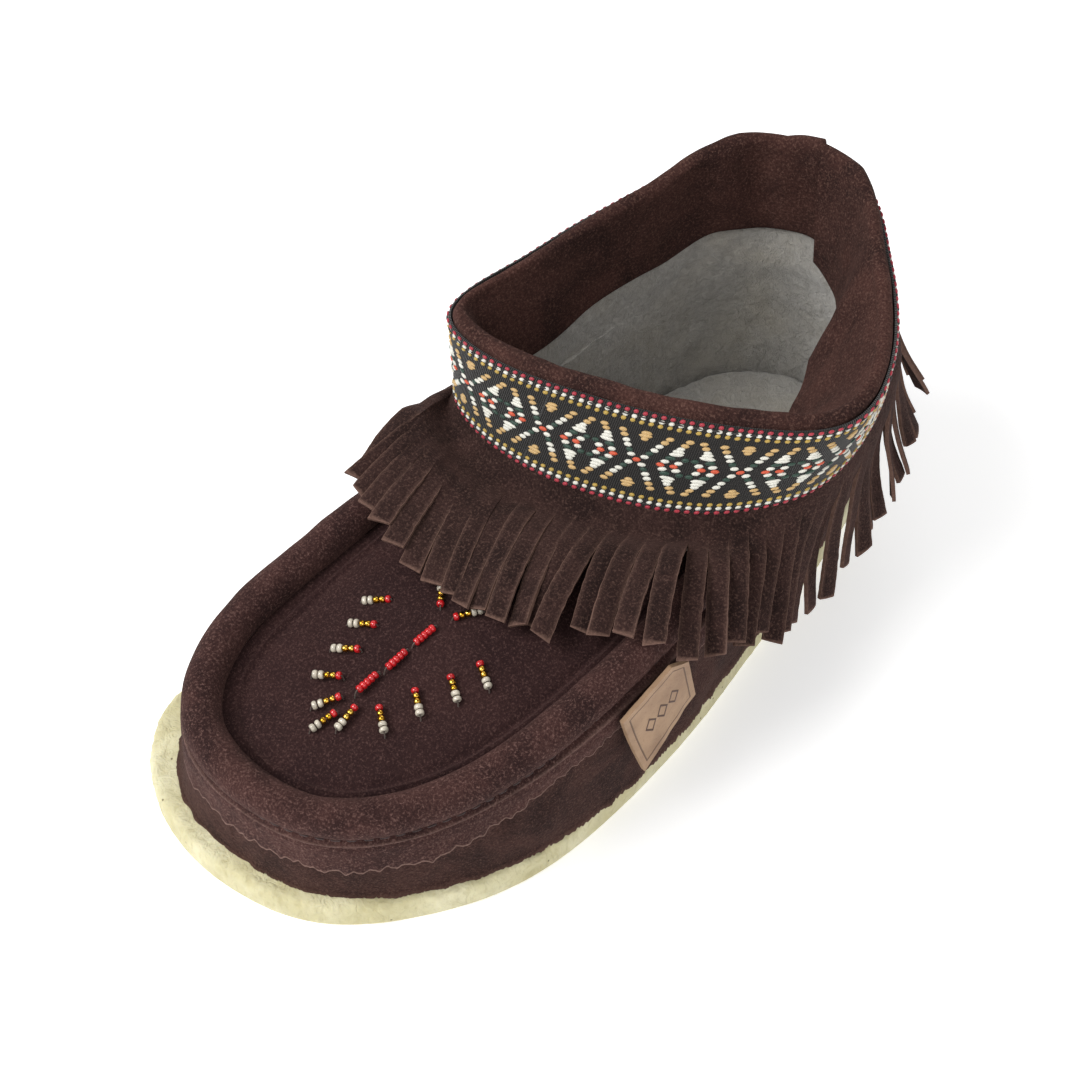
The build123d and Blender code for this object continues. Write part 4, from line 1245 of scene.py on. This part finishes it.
def make_beads():
    """Seed beads where the frame has its plain rings, strung on thread that dips into the suede."""
    random = np.random.default_rng(97)
    around, ring = 20, 12
    bars = np.array([middle for middle, _, _ in islands("bead_threads")])
    for node, material in (("beads_white", BEAD_WHITE), ("beads_gold", BEAD_GOLD), ("beads_red", BEAD_RED)):
        points, faces = [], []
        for middle, axes, spread in islands(node):
            gaps = np.abs(np.diff(spread))
            axis = axes[:, 0] if gaps[1] < gaps[0] else axes[:, 2]
            side = unit(np.cross(axis, (0.3, 0.2, 1.0)))
            third = np.cross(axis, side)
            bar = bars[((bars - middle) ** 2).sum(1).argmin()]
            if node == "beads_red" and 0 < bar[0] < 4.5 and -76 < bar[1] < -52:
                middle = bar + (middle - bar) * SPINE_PULL
            big = BEAD_SIZES[node] * random.uniform(0.95, 1.05)
            fat = random.uniform(0.66, 0.76)
            tilt = axis + random.uniform(-0.1, 0.1, 3)
            axis = unit(tilt)
            turn = np.arange(around) * 2 * pi / around
            spot = np.arange(ring) * 2 * pi / ring
            tube = big * 0.36
            radius = big - tube + np.cos(spot) * tube
            height = np.sin(spot) * fat
            first = len(points) * around * ring
            grid = (middle + axis * height[:, None, None]
                    + (side * np.cos(turn)[:, None] + third * np.sin(turn)[:, None])[None]
                    * radius[:, None, None])
            points.append(grid.reshape(-1, 3))
            faces += quads(ring, around, wrap_rows=True, wrap_columns=True, first=first).tolist()
        piece = new_piece(f"{node}_glass", np.concatenate(points), faces, [material], crease=180)
        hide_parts(node)
    points, faces = [], []
    shape = 8
    for middle, axes, _ in islands("bead_threads"):
        axis = axes[:, 2]
        reach = 4.6
        path = [middle + axis * t for t in (-reach, -reach + 0.6, 0, reach - 0.6, reach)]
        path[0], path[-1] = path[0] - (0, 0, 2.2), path[-1] - (0, 0, 2.2)
        line = smooth(path, 24)
        along = unit(np.gradient(line, axis=0))
        side = unit(np.cross(along, (0.31, 0.17, 0.9)))
        third = np.cross(along, side)
        turn = np.arange(shape) * 2 * pi / shape
        grid = line[:, None] + (side[:, None] * np.cos(turn)[None, :, None]
                                + third[:, None] * np.sin(turn)[None, :, None]) * 0.2
        first = len(points) * len(line) * shape
        points.append(grid.reshape(-1, 3))
        faces += quads(len(line), shape, wrap_columns=True, first=first).tolist()
        last = first + (len(line) - 1) * shape
        faces += [[first + i for i in range(shape)][::-1], [last + i for i in range(shape)]]
    piece = new_piece("bead_thread_runs", np.concatenate(points), faces, [CLEAR_THREAD])
    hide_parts("bead_threads")


# ---------------------------------------------------------------- build
make_sole()
make_footbed()
make_wall()
make_lining()
make_collar_pile()
make_plug()
make_roll()
make_cuff()
braid = make_braid()
figure = make_floats()
make_stitches("braid_stitches_upper", "braid_stitching_upper", BLACK_THREAD, 2.4, 0.5, 0.3)
make_stitches("braid_stitches_lower", "braid_stitching_lower", BLACK_THREAD, 2.4, 0.5, 0.3)
make_fringe()
make_tag()
make_beads()
for node in ("bottom_panel", "footbed_foam"):
    frame["nodes"][node].data.materials.clear()
    frame["nodes"][node].data.materials.append(FOAM_POROUS)


# ---------------------------------------------------------------- floor, lights and camera
def make_floor():
    """A wide pale floor."""
    mesh = bpy.data.meshes.new("floor")
    half = 3.0
    corners = [(-half, -half, 0), (half, -half, 0), (half, half, 0), (-half, half, 0)]
    mesh.from_pydata(corners, [], [(0, 1, 2, 3)])
    floor = bpy.data.objects.new("floor", mesh)
    bpy.context.scene.collection.objects.link(floor)
    pale = Paint("floor_pale", 0.9, Specular_IOR_Level=0.1)
    faint = pale.noise(200, 2.0, 0.5)
    pale.shader.inputs["Emission Color"].default_value = (1, 1, 1, 1)
    pale.shader.inputs["Emission Strength"].default_value = 0.42
    mesh.materials.append(pale.done(pale.mix(faint, colour(246, 246, 246), colour(250, 250, 250))))


def add_light(name, place, toward, size, power):
    """A soft square light aimed at a point."""
    data = bpy.data.lights.new(name, "AREA")
    data.size = size
    data.energy = power
    light = bpy.data.objects.new(name, data)
    light.location = place
    aim = Vector(toward) - Vector(place)
    light.rotation_mode = "QUATERNION"
    light.rotation_quaternion = aim.to_track_quat("-Z", "Y")
    bpy.context.scene.collection.objects.link(light)


make_floor()
add_light("key", (-0.45, -0.75, 1.05), (0, 0, 0.05), 0.8, 16)
add_light("fill", (0.9, -0.5, 0.8), (0, 0, 0.05), 1.2, 5)
add_light("back", (-0.5, 0.9, 0.9), (0, 0.05, 0.08), 0.9, 3)
world = bpy.data.worlds.new("studio")
world.use_nodes = True
world.node_tree.nodes["Background"].inputs["Color"].default_value = (1, 1, 1, 1)
world.node_tree.nodes["Background"].inputs["Strength"].default_value = 0.36
bpy.context.scene.world = world
bpy.context.scene.view_settings.view_transform = "Standard"

AZIMUTH, ELEVATION, DISTANCE = radians(42.12), radians(48.77), 0.450
TARGET = Vector((0.03840, -0.04729, 0.11380))
back = Vector((sin(AZIMUTH) * cos(ELEVATION), -cos(AZIMUTH) * cos(ELEVATION), sin(ELEVATION)))
lens = bpy.data.cameras.new("camera")
lens.sensor_width = 36
lens.lens = 63.4
lens.clip_start = 0.01
camera = bpy.data.objects.new("camera", lens)
camera.location = TARGET + back * DISTANCE
camera.rotation_mode = "QUATERNION"
camera.rotation_quaternion = (-back).to_track_quat("-Z", "Y")
bpy.context.scene.collection.objects.link(camera)
bpy.context.scene.camera = camera
